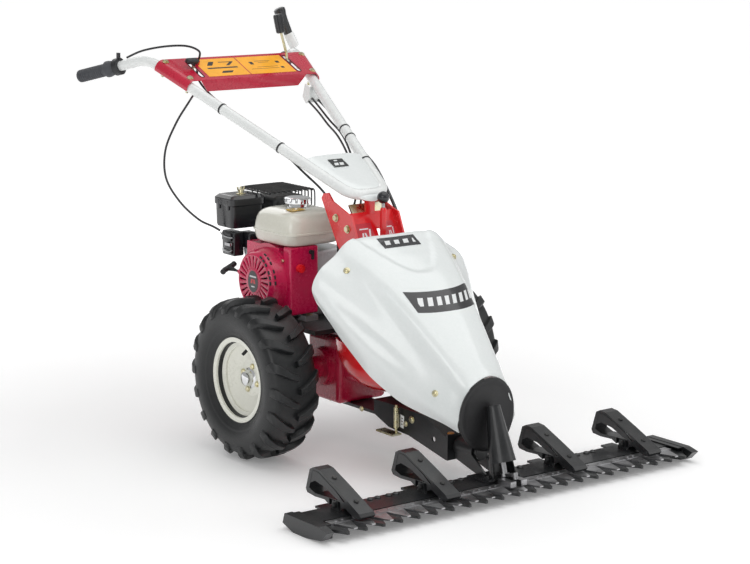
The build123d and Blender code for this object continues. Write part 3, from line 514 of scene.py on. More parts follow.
def between(table, value):
    """Reads a table of rows at a value of its first column, with a soft curve between rows."""
    flat = [[row[0], row[1], *[v for pair in row[2:] for v in pair]] for row in table]
    keys = [row[0] for row in flat]
    i = max(0, min(len(keys) - 2, next((k for k in range(len(keys) - 1) if value >= keys[k + 1]), len(keys) - 2)))
    t = (value - keys[i]) / (keys[i + 1] - keys[i])
    a, b, c, d = (flat[max(0, min(len(flat) - 1, i + k))] for k in (-1, 0, 1, 2))
    return [0.5 * ((2 * q) + (r - p) * t + (2 * p - 5 * q + 4 * r - s) * t * t + (3 * q - p - 3 * r + s) * t ** 3)
            for p, q, r, s in zip(a, b, c, d)]


def soft_step(value, low, high):
    t = max(0.0, min(1.0, (value - low) / (high - low)))
    return t * t * (3 - 2 * t)


def hood_point(y, across):
    """A point of the hood's skin; across runs from -1 at the right edge over the crown to 1."""
    row = between(HOOD, y)
    crown, knots = row[1], [(row[k], row[k + 1]) for k in range(2, 12, 2)]
    line = [(-x, z) for x, z in reversed(knots)] + [(0, crown + 1.5)] + knots
    stops = (-1.0, -0.86, -0.68, -0.5, -0.3, 0.0, 0.3, 0.5, 0.68, 0.86, 1.0)
    i = max(k for k in range(10) if across >= stops[k] - 1e-9)
    t = (across - stops[i]) / (stops[i + 1] - stops[i])
    a, b, c, d = (line[max(0, min(10, i + k))] for k in (-1, 0, 1, 2))
    x, z = (0.5 * ((2 * q) + (r - p) * t + (2 * p - 5 * q + 4 * r - s) * t * t
                   + (3 * q - p - 3 * r + s) * t ** 3) for p, q, r, s in zip(a, b, c, d))
    # the flat panel on the crown, a tongue with a rounded front
    reach = (y + 328) / 141
    half = 122 * math.sqrt(max(0.0, min(1.0, reach))) if reach > 0 else 0.0
    edge = half - abs(x)
    z -= 4.2 * soft_step(edge, 0, 11) * soft_step(reach, 0.0, 0.08)
    # the hollow that runs forward from the widest point and fades out
    travel = (-y - 215) / 240
    if 0 < travel < 1 and abs(across) > 0.3:
        middle = 0.80 - 0.16 * travel
        hollow = 6.5 * math.exp(-((abs(across) - middle) / 0.055) ** 2) * math.sin(math.pi * travel) ** 1.3
        x -= math.copysign(hollow * 0.75, x)
        z -= hollow * 0.5
    return x, z


def hood():
    rows, columns = 64, 96
    points, faces = [], []
    for i in range(rows + 1):
        y = -187 - (572 - 187) * i / rows
        for j in range(columns + 1):
            across = -1 + 2 * j / columns
            x, z = hood_point(y, across)
            points.append(at(x, y - 10 * (1 - abs(across)) * (i / rows) ** 6, z))
    n = columns + 1
    for i in range(rows):
        for j in range(columns):
            faces.append((i * n + j, i * n + j + 1, (i + 1) * n + j + 1, (i + 1) * n + j))
    mesh = mesh_of("hood", points, faces)
    piece = as_piece("hood_shell", mesh, "chassis", "white_hood", smooth=60)
    wall = piece.modifiers.new("wall", "SOLIDIFY")
    wall.thickness = 0.0034
    wall.offset = 1.0 if mesh.polygons[0].normal.x > 0 else -1.0
    bevelled(piece, 0.9, 2, 50)
    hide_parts("hood")
    return piece


hood()


def on_hood(y, across, lift=0.0):
    """A point on the hood with the outward direction there."""
    def point(yy, aa):
        x, z = hood_point(yy, aa)
        return Vector((x, yy, z))
    here = point(y, across)
    normal = (point(y, across + 0.02) - point(y, across - 0.02)).cross(point(y - 4, across) - point(y + 4, across))
    normal.normalize()
    if normal.z < 0:
        normal.negate()
    return here + normal * lift, normal


hood_bolts = []
for y, across in ((-231, -0.50), (-231, 0.50), (-505, -0.66), (-505, 0.66)):
    spot, out = on_hood(y, across, 0.3)
    hood_bolts.append(domed_bolt(spot, out, 8.5))
hood_bolt_piece = as_piece("hood_bolts", joined(hood_bolts), "chassis", "zinc")


def patch_on_hood(name, y_rear, y_front, left, right, material, slant=(0.0, 0.0), lift=0.5):
    """A thin plate that follows the hood."""
    rows, columns = 10, 30
    points, faces = [], []
    for i in range(rows + 1):
        for j in range(columns + 1):
            u, v = j / columns, i / rows
            across = left + (right - left) * u
            y = y_rear + (y_front - y_rear) * v + slant[0] * u + slant[1] * u * u
            spot, _ = on_hood(y, across, lift)
            points.append(at(*spot))
    n = columns + 1
    for i in range(rows):
        for j in range(columns):
            faces.append((i * n + j, i * n + j + 1, (i + 1) * n + j + 1, (i + 1) * n + j))
    mesh = mesh_of(name, points, faces)
    layer = mesh.uv_layers.new(name="plate")
    for loop in mesh.loops:
        index = loop.vertex_index
        layer.data[loop.index].uv = ((index % n) / columns, 1 - (index // n) / rows)
    piece = as_piece(name, mesh, "chassis", material)
    return piece


def badge_finish(name, field, mark, bars, along=1.0):
    """A generic badge: a dark field with plain slanted pale bars."""
    material, tree, surface = shader(name)
    uv = tree.nodes.new("ShaderNodeTexCoord").outputs["UV"]
    split = tree.nodes.new("ShaderNodeSeparateXYZ")
    tree.links.new(uv, split.inputs[0])
    u, v = split.outputs["X"], split.outputs["Y"]
    lean = combine(tree, "ADD", u, combine(tree, "MULTIPLY", v, -0.12))
    wave = combine(tree, "FRACT", combine(tree, "MULTIPLY", lean, bars))
    stripe = combine(tree, "LESS_THAN", combine(tree, "ABSOLUTE", combine(tree, "SUBTRACT", wave, 0.5)), 0.27)
    inside = combine(tree, "LESS_THAN", combine(tree, "ABSOLUTE", combine(tree, "SUBTRACT", v, 0.5)), 0.2)
    inner = combine(tree, "LESS_THAN", combine(tree, "ABSOLUTE", combine(tree, "SUBTRACT", u, 0.5)), 0.42)
    mask = combine(tree, "MULTIPLY", combine(tree, "MULTIPLY", stripe, inside), inner)
    tone = placed(tree, MOTTLE, Tone_A=field, Tone_B=tuple(c * 1.6 + 0.004 for c in field), Broad_Scale=40.0,
                  Fine_Scale=300.0)
    tree.links.new(blend_colour(tree, mask, tone.outputs["Colour"], mark), surface.inputs["Base Color"])
    surface.inputs["Roughness"].default_value = 0.25
    surface.inputs["Coat Weight"].default_value = 0.4
    return material


strip_badge = badge_finish("strip_badge", (0.012, 0.012, 0.014), (0.8, 0.82, 0.82), 9.0)
small_badge = badge_finish("small_badge", (0.012, 0.012, 0.014), (0.8, 0.82, 0.82), 4.0)
patch_on_hood("hood_strip_badge", -357, -409, -0.27, 0.40, strip_badge, slant=(-108, 132))
patch_on_hood("hood_top_badge", -200, -236, -0.13, 0.14, small_badge)


# ---------------------------------------------------------------- nose cover
def nose_cover():
    """Dished round rubber cover that folds back along an upright crease."""
    rings, n = [], 72
    for depth, radius in ((6, 90), (0, 92), (-1.5, 90), (-1.5, 84), (0.5, 78), (2, 70), (2.5, 40), (2.5, 0.5)):
        ring = []
        for k in range(n):
            a = 2 * math.pi * k / n
            x, z = radius * math.cos(a), 188 + radius * math.sin(a)
            fold = max(0.0, x - 20)
            ring.append(at(x - fold * 0.04, -583 + depth + fold * 0.14, z))
        rings.append(ring)
    mesh = rings_to_mesh(rings, caps=True)
    piece = as_piece("nose_cover_disc", mesh, "chassis", "black_rubber", smooth=60)
    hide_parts("nose_cover")


nose_cover()

# ---------------------------------------------------------------- shared shapes and marks
def oval_rings(centre, levels, exponent=5.0, segments=96):
    """Rounded-square rings about an upright axis; each level is z, half width, half depth."""
    rings = []
    for z, wide, deep in levels:
        ring = []
        for k in range(segments):
            a = 2 * math.pi * k / segments
            c, s = math.cos(a), math.sin(a)
            ring.append(at(centre[0] + math.copysign(abs(c) ** (2 / exponent), c) * wide,
                           centre[1] + math.copysign(abs(s) ** (2 / exponent), s) * deep, z))
        rings.append(ring)
    return rings


def box_mask(tree, u, v, centre, half, lean=0.0):
    """1 inside a leaning rectangle in the plate's own coordinates."""
    shifted = combine(tree, "SUBTRACT", u, combine(tree, "MULTIPLY_ADD", v, lean, centre[0] - lean * centre[1]))
    across = combine(tree, "LESS_THAN", combine(tree, "ABSOLUTE", shifted), half[0])
    along = combine(tree, "LESS_THAN", combine(tree, "ABSOLUTE", combine(tree, "SUBTRACT", v, centre[1])), half[1])
    return combine(tree, "MULTIPLY", across, along)


def marked_plate(name, field, marks, rough=0.3):
    """A printed plate: a mottled field with plain shapes; each mark is a colour and a list of boxes."""
    material, tree, surface = shader(name)
    split = tree.nodes.new("ShaderNodeSeparateXYZ")
    tree.links.new(tree.nodes.new("ShaderNodeTexCoord").outputs["UV"], split.inputs[0])
    u, v = split.outputs["X"], split.outputs["Y"]
    tone = placed(tree, MOTTLE, Tone_A=field, Tone_B=tuple(c * 1.15 + 0.003 for c in field), Broad_Scale=30.0,
                  Fine_Scale=260.0)
    colour = tone.outputs["Colour"]
    for mark, boxes in marks:
        mask = None
        for box in boxes:
            one = box_mask(tree, u, v, *box)
            mask = one if mask is None else combine(tree, "MAXIMUM", mask, one)
        colour = blend_colour(tree, mask, colour, mark)
    tree.links.new(colour, surface.inputs["Base Color"])
    tree.links.new(spread(tree, tone.outputs["Mask"], 0.0, 1.0, rough, rough + 0.12), surface.inputs["Roughness"])
    surface.inputs["Coat Weight"].default_value = 0.3
    return material


def plate_on(name, corner, across, along, body, material, cells=(12, 6)):
    """A flat printed plate from a corner and its two edges, in millimetres."""
    corner, across, along = Vector(corner), Vector(across), Vector(along)
    points = [at(*(corner + across * (j / cells[0]) + along * (i / cells[1])))
              for i in range(cells[1] + 1) for j in range(cells[0] + 1)]
    n = cells[0] + 1
    faces = [(i * n + j, i * n + j + 1, (i + 1) * n + j + 1, (i + 1) * n + j)
             for i in range(cells[1]) for j in range(cells[0])]
    mesh = mesh_of(name, points, faces)
    layer = mesh.uv_layers.new(name="plate")
    for loop in mesh.loops:
        layer.data[loop.index].uv = ((loop.vertex_index % n) / cells[0], (loop.vertex_index // n) / cells[1])
    return as_piece(name, mesh, body, material)


def between_points(a, b, t):
    return Vector(a) + (Vector(b) - Vector(a)) * t


# ---------------------------------------------------------------- engine
TANK = (-75.0, 122.5)
tank_levels = [(528, 80, 83), (530, 85, 87), (536, 88.5, 90.5), (548, 91, 93), (555, 92, 94.2), (556, 94.5, 96.8),
               (560.5, 94.5, 96.8), (561.5, 91.5, 93.8), (575, 90, 92), (590, 87, 89), (601, 82, 84), (609, 74, 76),
               (614, 63, 65), (617, 48, 50), (618, 26, 26)]
tank = as_piece("tank_shell", rings_to_mesh(oval_rings(TANK, tank_levels)), "chassis", "cream_plastic", smooth=40)
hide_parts("fuel_tank")
neck = lathe([(0, 30), (2, 29), (4, 25.5), (10, 25), (13, 24.5)], (-75, 121, 615), (0, 0, 1), 48)
as_piece("tank_neck", neck, "chassis", "chrome")
cap_rings = []
for z, r, flute in ((628.4, 33.6, 0.0), (629.2, 35.4, 1.4), (640.5, 35.4, 1.6), (642.6, 34.0, 1.0), (643.8, 30.5, 0.2),
                    (644.6, 26.0, 0.0), (644.0, 22.0, 0.0), (643.6, 1.0, 0.0)):
    cap_rings.append([at(-75 + (r - flute * max(0.0, math.cos(14 * a)) ** 2) * math.cos(a),
                         121 + (r - flute * max(0.0, math.cos(14 * a)) ** 2) * math.sin(a), z)
                      for a in (2 * math.pi * k / 168 for k in range(168))])
cap = as_piece("cap_fluted", rings_to_mesh(cap_rings), "fuel_cap", "chrome", smooth=30)
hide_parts("fuel_cap")
amber_label = marked_plate("tank_label", (0.80, 0.48, 0.03), [((0.02, 0.02, 0.02), [
    ((0.2, 0.55), (0.09, 0.2)), ((0.62, 0.72), (0.26, 0.05)), ((0.62, 0.48), (0.24, 0.04)), ((0.55, 0.28), (0.16, 0.04))])])
plate_on("tank_top_label", (-131, 64, 617.4), (44, 0, 0.9), (0, 34, 0.8), "chassis", amber_label)

cleaner_levels = [(542, 45, 37), (543, 50, 42), (550, 52, 44), (598, 53, 45), (603, 53, 45), (604, 56, 48), (622, 56, 48),
                  (630, 47, 39), (631, 42, 34), (630.2, 20, 18), (629, 10, 10)]
cleaner = as_piece("cleaner_case", rings_to_mesh(oval_rings((-115, 335), cleaner_levels, 9.0)), "chassis",
                   "gloss_black", smooth=28)
bevelled(cleaner, 1.5, 2, 28)
nut = [lathe([(0, 13), (1.5, 13), (2.5, 6.5), (9, 5.5), (12, 4), (20, 3.6), (21, 0.1)], (-112, 334, 629), (0, 0, 1), 32)]
for wing in (-1, 1):
    nut.append(wire([(-112 + wing * 4, 334, 636), (-112 + wing * 9, 334, 641), (-112 + wing * 11, 334, 649)], 2.4, 12))
nut_piece = as_piece("cleaner_wing_nut", joined(nut), "chassis", "zinc")
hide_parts("air_cleaner")
catches = [rounded_block((-171, -168), (306 + 44 * i, 318 + 44 * i), (592, 618), 1.2) for i in (0, 1)]
as_piece("cleaner_catches", joined(catches), "chassis", "gloss_black")

carb = [rounded_block((-164, -132), (290, 350), (468, 534), 4), rounded_block((-170, -164), (296, 330), (474, 496), 2.5),
        rounded_block((-169, -164), (300, 344), (508, 530), 2), rounded_block((-132, -98), (264, 316), (488, 532), 5)]
carb_case = as_piece("carburettor_cover", joined(carb), "chassis", "gloss_black")
bright = [lathe([(0, 16), (3, 17), (12, 16), (22, 14), (26, 9), (27, 0.1)], (-113, 290, 488), (0, 0, -1), 32),
          hex_head((-113, 290, 461), (0, 0, -1), 9, 4),
          lathe([(0, 5.5), (3, 5.5), (4, 4), (4.1, 0.1)], (-165, 338, 482), (-1, 0, 0), 24),
          lathe([(0, 4.5), (3, 4.5), (4, 3), (4.1, 0.1)], (-166, 300, 500), (-1, 0, 0), 24),
          wire([(-168, 292, 519), (-172, 300, 519), (-173, 330, 521), (-172, 344, 528)], 1.5, 10),
          wire([(-167, 296, 484), (-175, 305, 480), (-174, 325, 484), (-167, 334, 488)], 1.3, 10)]
as_piece("carburettor_screws", joined(bright), "chassis", "cast_aluminium", smooth=30)
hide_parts("carburettor")

guard = []
for i in range(10):
    y = 238 + 15.4 * i
    guard.append(wire([(-83, y, 640), (-60, y, 641.6), (0, y, 642), (52, y, 641.4), (63, y, 636), (65, y, 620),
                       (65, y, 590), (65, y, 563)], 1.9, 8, 3))
for i in range(9):
    x = -80 + 17.2 * i
    drop = [(x, 377, 632), (x, 378, 610), (x, 378, 563)] if x > -52 else [(x, 377, 634)]
    guard.append(wire([(x, 238, 637.4), (x, 300, 638), (x, 366, 637.6), (x, 374, 637.4)] + drop, 1.9, 8, 3))
guard.append(wire([(-50, 378, 563), (64, 378, 563), (65, 377, 563), (65, 238, 563)], 2.4, 10, smooth=False))
guard.append(wire([(-83, 238, 638), (-83, 377, 638)], 2.2, 10, smooth=False))
guard_piece = as_piece("muffler_wires", joined(guard), "chassis", "black_steel", smooth=60)
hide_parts("muffler_guard")

CY, CZ = CRANK


def round_engine(x, radius, degrees):
    a = math.radians(degrees)
    return (x, CY + radius * math.cos(a), CZ + radius * math.sin(a))


shell = [lathe([(158, 87), (162, 86.2), (172, 84.5), (188, 82), (195, 79.5), (201, 76), (204.6, 71), (205, 68), (204, 66.4),
                (199, 66)], (0, CY, CZ), (-1, 0, 0), 128, caps=False),
         lathe([(199, 36), (204, 35.6), (205.6, 34), (206.2, 31.5), (206.4, 0.1)], (0, CY, CZ), (-1, 0, 0), 96, caps=False)]
for i in range(24):
    rib, turn = [], 15 * i + 3
    for r, half, lead in ((35, 3.4, 0), (44, 4.0, 2.2), (56, 5.0, 3.2), (68, 6.0, 3.6)):
        ring = [round_engine(x, r, turn + lead + math.degrees(w / r))
                for x, w in ((-199, -half), (-203.6, -half), (-204.8, -half * 0.7), (-204.8, half * 0.7), (-203.6, half),
                             (-199, half))]
        rib.append([at(*p) for p in ring])
    shell.append(rings_to_mesh(rib))
dish = as_piece("recoil_dish", joined(shell), "chassis", "engine_red", smooth=40)
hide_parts("recoil_cover")
dark = [lathe([(0, 66.5), (1, 66.5), (1.2, 0.1)], (-193.5, CY, CZ), (-1, 0, 0), 64)]
for row, degrees in enumerate((205, 216, 227, 244, 255, 266)):
    for r in (74.5, 81.0):
        mid = Vector(round_engine(-202.5 if r < 78 else -190.5, r, degrees - 90))
        dark.append(rounded_block((mid.x - 2.2, mid.x + 2.2), (mid.y - 2.5, mid.y + 2.5), (mid.z - 5, mid.z + 5), 1.2,
                                  Matrix.Rotation(math.radians(degrees - 90), 3, "X")))
as_piece("recoil_dark_slots", joined(dark), "chassis", "black_plastic")
rope_guide = lathe([(0, 12), (8, 11), (16, 8.5), (22, 6.5), (23, 4)], (-188, 205, 438), (-0.12, 0.98, 0.12), 32)
as_piece("rope_guide", rope_guide, "chassis", "engine_red")
badge_mesh = mesh_of("badge", [at(-206.9, CY + 23 * math.cos(a), CZ + 29 * math.sin(a))
                               for a in (2 * math.pi * k / 64 for k in range(64))], [tuple(range(64))])
badge_uv = badge_mesh.uv_layers.new(name="plate")
for loop in badge_mesh.loops:
    spot = badge_mesh.vertices[loop.vertex_index].co
    badge_uv.data[loop.index].uv = (0.5 - (spot.y * 1000 + AXLE_Y - CY) / 58, 0.5 + (spot.z * 1000 - CZ) / 58)
engine_badge = marked_plate("engine_badge", (0.010, 0.010, 0.012), [
    ((0.75, 0.76, 0.78), [((0.5, 0.72), (0.26, 0.035)), ((0.5, 0.26), (0.13, 0.03))]),
    ((0.62, 0.01, 0.02), [((0.40, 0.5), (0.07, 0.10), 0.3), ((0.60, 0.5), (0.07, 0.10), -0.3)])])
as_piece("recoil_badge", badge_mesh, "chassis", engine_badge, smooth=None)
housing_screws = [hex_head(round_engine(-158.5, 92, a), (-1, 0, 0), 9, 4) for a in (40, 140, 232, 318)]
as_piece("housing_screws", joined(housing_screws), "chassis", "zinc", smooth=25)
handle = wire([(-221, 259, 437), (-212, 265, 440), (-198, 267, 445), (-184, 269, 450), (-175, 273, 453)], 7.6, 20, 5)
handle_piece = as_piece("starter_handle", joined([handle, lathe([(-6, 3.2), (0, 3.4), (14, 6), (22, 7.4), (26, 7.6)],
                                                                (-192, 240, 441.5), (-0.19, 0.97, 0.13), 24)]),
                        "starter_grip", "black_plastic")
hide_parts("starter_grip")

# ---------------------------------------------------------------- handlebar fittings
def on_panel(x, s, h=0.0):
    """A point from its place across the panel, up its slope and off its sheet."""
    c, k = math.cos(PANEL_SLOPE), math.sin(PANEL_SLOPE)
    return Vector((x, PANEL_FRONT[0] + s * c - h * k, PANEL_FRONT[1] + s * k + h * c))


ink, paper = (0.015, 0.012, 0.01), (0.94, 0.42, 0.01)
decal = marked_plate("panel_decal", paper, [
    (ink, [((0.24, 0.46), (0.17, 0.035), 0.0), ((0.15, 0.72), (0.03, 0.11), 0.25), ((0.33, 0.78), (0.08, 0.02)),
           ((0.36, 0.68), (0.02, 0.10), 0.4), ((0.25, 0.22), (0.06, 0.06), 0.3), ((0.60, 0.62), (0.02, 0.08)),
           ((0.74, 0.72), (0.09, 0.012)), ((0.74, 0.64), (0.06, 0.012)), ((0.90, 0.62), (0.02, 0.06)),
           ((0.74, 0.38), (0.12, 0.01)), ((0.70, 0.28), (0.16, 0.01)), ((0.90, 0.30), (0.018, 0.05))]),
    ((0.50, 0.003, 0.03), [((0.475, 0.5), (0.006, 0.5))])])
plate_on("panel_decal", on_panel(-140, 14, 0.45), (288, 0, 0), on_panel(0, 96) - on_panel(0, 0), "handlebar", decal)
slot_frames = []
for x in (-160, 160):
    edge = [on_panel(x + dx, s, 0.3) for dx, s in ((-5, 16), (0, 13.5), (5, 16), (6.6, 20), (6.6, 102), (5, 106),
                                                   (0, 108.5), (-5, 106), (-6.6, 102), (-6.6, 20), (-5, 16))]
    slot_frames.append(wire([tuple(p) for p in edge], 1.2, 8, smooth=False))
as_piece("slot_edges", joined(slot_frames), "handlebar", "black_plastic")


def lever(name, body, node, points, profile, material, sides=28, flute=0.0, ribs=10):
    """A turned grip between two points; flute cuts lengthwise grooves."""
    a, b = Vector(points[0]), Vector(points[1])
    d, length = (b - a).normalized(), (b - a).length
    across, up = frame_on(d)
    rings = []
    for share, radius in profile:
        centre = a + d * (share * length)
        rings.append([at(*(centre + (across * math.cos(t) + up * math.sin(t))
                           * max(0.05, radius - flute * (0.5 + 0.5 * math.cos(ribs * t)) * (0.08 < share < 0.92))))
                      for t in (2 * math.pi * k / (sides * 4 if flute else sides)
                                for k in range(sides * 4 if flute else sides))])
    piece = as_piece(name, rings_to_mesh(rings), body, material, smooth=40)
    if node:
        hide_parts(node)
    return piece


grip_top = (141, 524, 1094)
clutch_rod = wire([(160, 501, 932), (160, 509, 985), (147, 518, 1046)], 3.9, 20, smooth=False)
clutch_piece = as_piece("bar_clutch_rod", clutch_rod, "bar_clutch_lever", "zinc", smooth=40)
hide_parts("bar_clutch_lever")
lever("bar_clutch_grip", "bar_clutch_lever", None, ((147.4, 517.4, 1040), grip_top),
      ((0, 8), (0.03, 11.5), (0.1, 12.6), (0.5, 13.2), (0.88, 13.6), (0.96, 12.4), (1, 8), (1.005, 0.1)), "gloss_black",
      flute=1.5)
pivot_knuckle = lathe([(-6, 8), (6, 8)], tuple(on_panel(160, 66, -30)), (1, 0, 0), 32)
as_piece("bar_clutch_knuckle", pivot_knuckle, "bar_clutch_lever", "zinc")
lever("drive_lever_collar", "drive_lever", "drive_lever", ((235, 575, 994), (217, 581, 1034)),
      ((0, 11), (0.05, 14), (0.3, 15), (0.9, 14.5), (1, 13)), "white_paint")
lever("drive_lever_grip", "drive_lever", None, ((218, 580.7, 1030), (190, 590, 1106)),
      ((0, 12.2), (0.08, 12.8), (0.5, 13), (0.72, 14.2), (0.85, 16.8), (0.95, 16.4), (0.99, 11), (1, 0.1)), "gloss_black")
head = [rounded_block((-26, 11), (-9, 9), (-7, 7), 5), rounded_block((-4.5, 4.5), (-5, 5), (-15, 0), 3)]
for part_mesh in head:
    part_mesh.transform(Matrix.Translation(Vector((0, AXLE_Y / 1000, 0))))
    part_mesh.transform(Matrix.Translation(at(*on_panel(-160, 70, 20))) @ Matrix.Rotation(PANEL_SLOPE, 4, "X"))
slot_head = as_piece("slot_lever_head", joined(head), "slot_lever", "black_plastic")
slot_stem = wire([tuple(on_panel(-160, 70, -30)), tuple(on_panel(-160, 70, 14))], 4.5, 16, smooth=False)
as_piece("slot_lever_stem", slot_stem, "slot_lever", "zinc")
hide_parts("slot_lever")

ball_at = (15, -134, 666)
ball = lathe([(-16 * math.cos(math.pi * k / 20), max(0.05, 16 * math.sin(math.pi * k / 20))) for k in range(21)], ball_at,
             (0, 0, 1), 40, caps=False)
ball_piece = as_piece("gear_ball", ball, "gear_lever", "gloss_black", smooth=60)
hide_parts("gear_lever")
lever("gear_stem", "gear_lever", None, ((15, -135, 630), (15, -134, 652)), ((0, 5.5), (0.2, 5.5), (0.25, 4.4), (1, 4.4)),
      "steel")
lever("gear_sleeve", "gear_lever", None, ((15, -135, 538), (15, -135, 640)), ((0, 8.6), (0.9, 8.6), (0.96, 8), (1, 6)),
      "red_paint")
as_piece("gear_pivot", lathe([(-8.5, 10), (8.5, 10)], (15, -135, 545), (1, 0, 0), 32), "gear_lever", "zinc")

grips = []
for side in (-1, 1):
    end = Vector((side * TUBE_END[0], TUBE_END[1], TUBE_END[2]))
    bend = Vector((side * TUBE_BEND[0], TUBE_BEND[1], TUBE_BEND[2]))
    profile = [(-4.6, 0.1), (-4.6, 9), (-4, 15), (-1.5, 17.2)]
    for i in range(12):
        base = 3 + 6.9 * i
        profile += [(base, 17.8), (base + 1.6, 17.9), (base + 2.6, 16.4), (base + 4.6, 16.4), (base + 5.8, 17.7)]
    profile += [(88, 18), (91, 18.4), (93.5, 21.5), (96, 22.8), (104, 22.6), (112, 20.5), (119, 19.2), (122, 17), (122.2, 14.3)]
    grips.append(lathe(profile, end, bend - end, 56, caps=False))
grip_piece = as_piece("grip_sleeves", joined(grips), "handlebar", "grip_rubber", smooth=32)
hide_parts("handle_grips")

# soft white cover over the foot of the handlebar
cover_rows = ((64, 758, 100, 40), (40, 747, 95, 40), (10, 733, 87, 38), (-20, 719, 78, 36), (-50, 706, 68, 33),
              (-76, 694, 57, 29), (-96, 681, 44, 22), (-108, 670, 28, 14), (-113, 662, 12, 7))
cover_rings = []
for y, top, half, deep in cover_rows:
    ring = []
    for k in range(64):
        a = 2 * math.pi * k / 64
        c, s = math.cos(a), math.sin(a)
        ring.append(at(half * math.copysign(abs(c) ** 0.62, c), y, top - deep / 2 + deep / 2 * math.copysign(abs(s) ** 0.8, s)))
    cover_rings.append(ring)
cover = as_piece("console_dome", rings_to_mesh(cover_rings), "handlebar", "white_hood", smooth=50)
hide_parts("console_cover")
console_badge = marked_plate("console_badge", (0.012, 0.014, 0.013), [((0.78, 0.8, 0.8), [
    ((0.3, 0.35), (0.14, 0.16), 0.3), ((0.66, 0.35), (0.14, 0.16), 0.3), ((0.45, 0.8), (0.12, 0.07))])])
plate_on("console_plate", (-36, 6, 733), (46, 0, 0), (0, 34, 15.6), "handlebar", console_badge)

# ---------------------------------------------------------------- cables, held at both ends
# ---------------------------------------------------------------- cables, from the handlebar down to the machine
CABLES = (
    ("cable_choke", 3.0, [(-156, 480, 902), (-198, 456, 872), (-231, 470, 815), (-247, 500, 740), (-251, 492, 665),
                          (-236, 446, 604), (-208, 398, 560), (-185, 362, 543), (-173, 345, 533)]),
    ("cable_clutch_right", 3.0, [(-138, 507, 962.6), (-138, 500, 926), (-130, 452, 888), (-118, 376, 852),
                                 (-112, 300, 818), (-109, 226, 788), (-104, 152, 765), (-90, 76, 718), (-66, 8, 664),
                                 (-56, -22, 606), (-58, -36, 545), (-61, -43, 480), (-60, -45, 415),
                                 (-60, -46, 352.2)]),
    ("cable_left_outer", 3.0, [(184, 416, 863), (170, 360, 842), (158, 300, 816), (142, 222, 787), (116, 150, 752),
                               (84, 80, 708), (44, 18, 664), (4, -16, 612), (-24, -32, 548), (-35, -40, 484),
                               (-36, -44, 418), (-36, -46, 352.2)]),
    ("cable_left_inner", 3.0, [(172, 416, 855), (159, 352, 832), (146, 290, 805), (130, 222, 781), (108, 150, 744),
                               (84, 82, 694), (60, 24, 652), (31, -14, 620), (9, -34, 570), (-5, -43, 510),
                               (-10, -46, 445), (-12, -46.5, 352.2)]),
    ("cable_thick", 4.5, [(206, 415.4, 857), (197, 350, 832), (184, 272, 798), (163, 190, 766), (140, 110, 742),
                          (120, 36, 716), (104, -32, 670), (92, -90, 618), (85, -128, 560), (84, -144, 490),
                          (84, -148, 410), (84, -149, 317.2)]),
)


def cable(name, radius, points):
    """A curved cable from the handlebar down to the machine below it."""
    mesh = wire(points, radius, 14, 8)
    mesh.materials.append(FINISH["gloss_black"])
    mesh.shade_smooth()
    piece = bpy.data.objects.new(name, mesh)
    scene.collection.objects.link(piece)
    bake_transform(piece)
    return piece


for name, radius, points in CABLES:
    cable(name, radius, points)
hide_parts("cables_right")
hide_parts("cables_left")
loop_mesh = wire([(-272, 656, 981.5), (-238, 628, 1001), (-196, 580, 1014), (-158, 530, 1017), (-140, 492, 1004),
                  (-138, 500.8, 978.5)], 3.0, 14, 8)
as_piece("cable_throttle", loop_mesh, "handlebar", "gloss_black")
ties = []
for side, share in ((-1, 0.335), (-1, 0.62), (1, 0.36), (1, 0.42), (1, 0.2)):
    foot = Vector((side * TUBE_FOOT[0], TUBE_FOOT[1], TUBE_FOOT[2]))
    bend = Vector((side * TUBE_BEND[0], TUBE_BEND[1], TUBE_BEND[2]))
    ties.append(lathe([(-2.4, 14.2), (-2.4, 15.4), (2.4, 15.4), (2.4, 14.2)], foot + (bend - foot) * share, bend - foot, 40,
                      caps=False))
as_piece("cable_ties", joined(ties), "handlebar", "black_plastic", smooth=30)

# ---------------------------------------------------------------- low on the machine
coil = []
for k in range(14 * 12 + 1):
    a = 2 * math.pi * k / 12
    coil.append((-51 + 6 * math.cos(a), -281 + 6 * math.sin(a), 100 + 50 * k / 168))
as_piece("pedal_spring", wire(coil, 1.2, 8, smooth=False), "release_pedal", "zinc")
beam_label = marked_plate("beam_label", (0.8, 0.82, 0.82), [((0.02, 0.02, 0.02), [
    ((0.5, 0.75), (0.16, 0.05)), ((0.5, 0.52), (0.16, 0.05)), ((0.5, 0.28), (0.16, 0.04))])])
plate_on("beam_label", (-40.4, -282, 99), (0, -15, -2), (0, -2, 33), "chassis", beam_label)
beam_bolts = [hex_head((-40.2, y, z), (-1, 0, 0), across, 5, across * 0.75)
              for y, z, across in ((-331, 128, 13), (-306, 112, 10), (-120, 113, 10), (20, 113, 10))]
as_piece("beam_bolts", joined(beam_bolts), "chassis", "zinc", smooth=25)
bush = [lathe([(0, 9), (6, 9), (8, 7), (8.1, 0.1)], (-20, -462, 112), (0, 0, 1), 28)]
as_piece("amber_bush", joined(bush), "chassis", "amber")
bar_bolt_heads = []
for x in (-356, -334, -301, -280, -110, -80, 80, 110, 280, 301, 334, 356):
    bar_bolt_heads.append(lathe([(0, 8.5), (1.5, 8.5), (4, 6.5), (5, 3.5), (5.2, 0.1)], (x, -575, 34), (0, 0, 1), 24))
as_piece("bar_bolt_heads", joined(bar_bolt_heads), "bar", "black_paint")
WEB = ((-640, 58), (-606, 80), (-536, 110), (-514, 112), (-504, 106), (-490, 66), (-500, 78), (-520, 88), (-560, 82),
       (-600, 66))
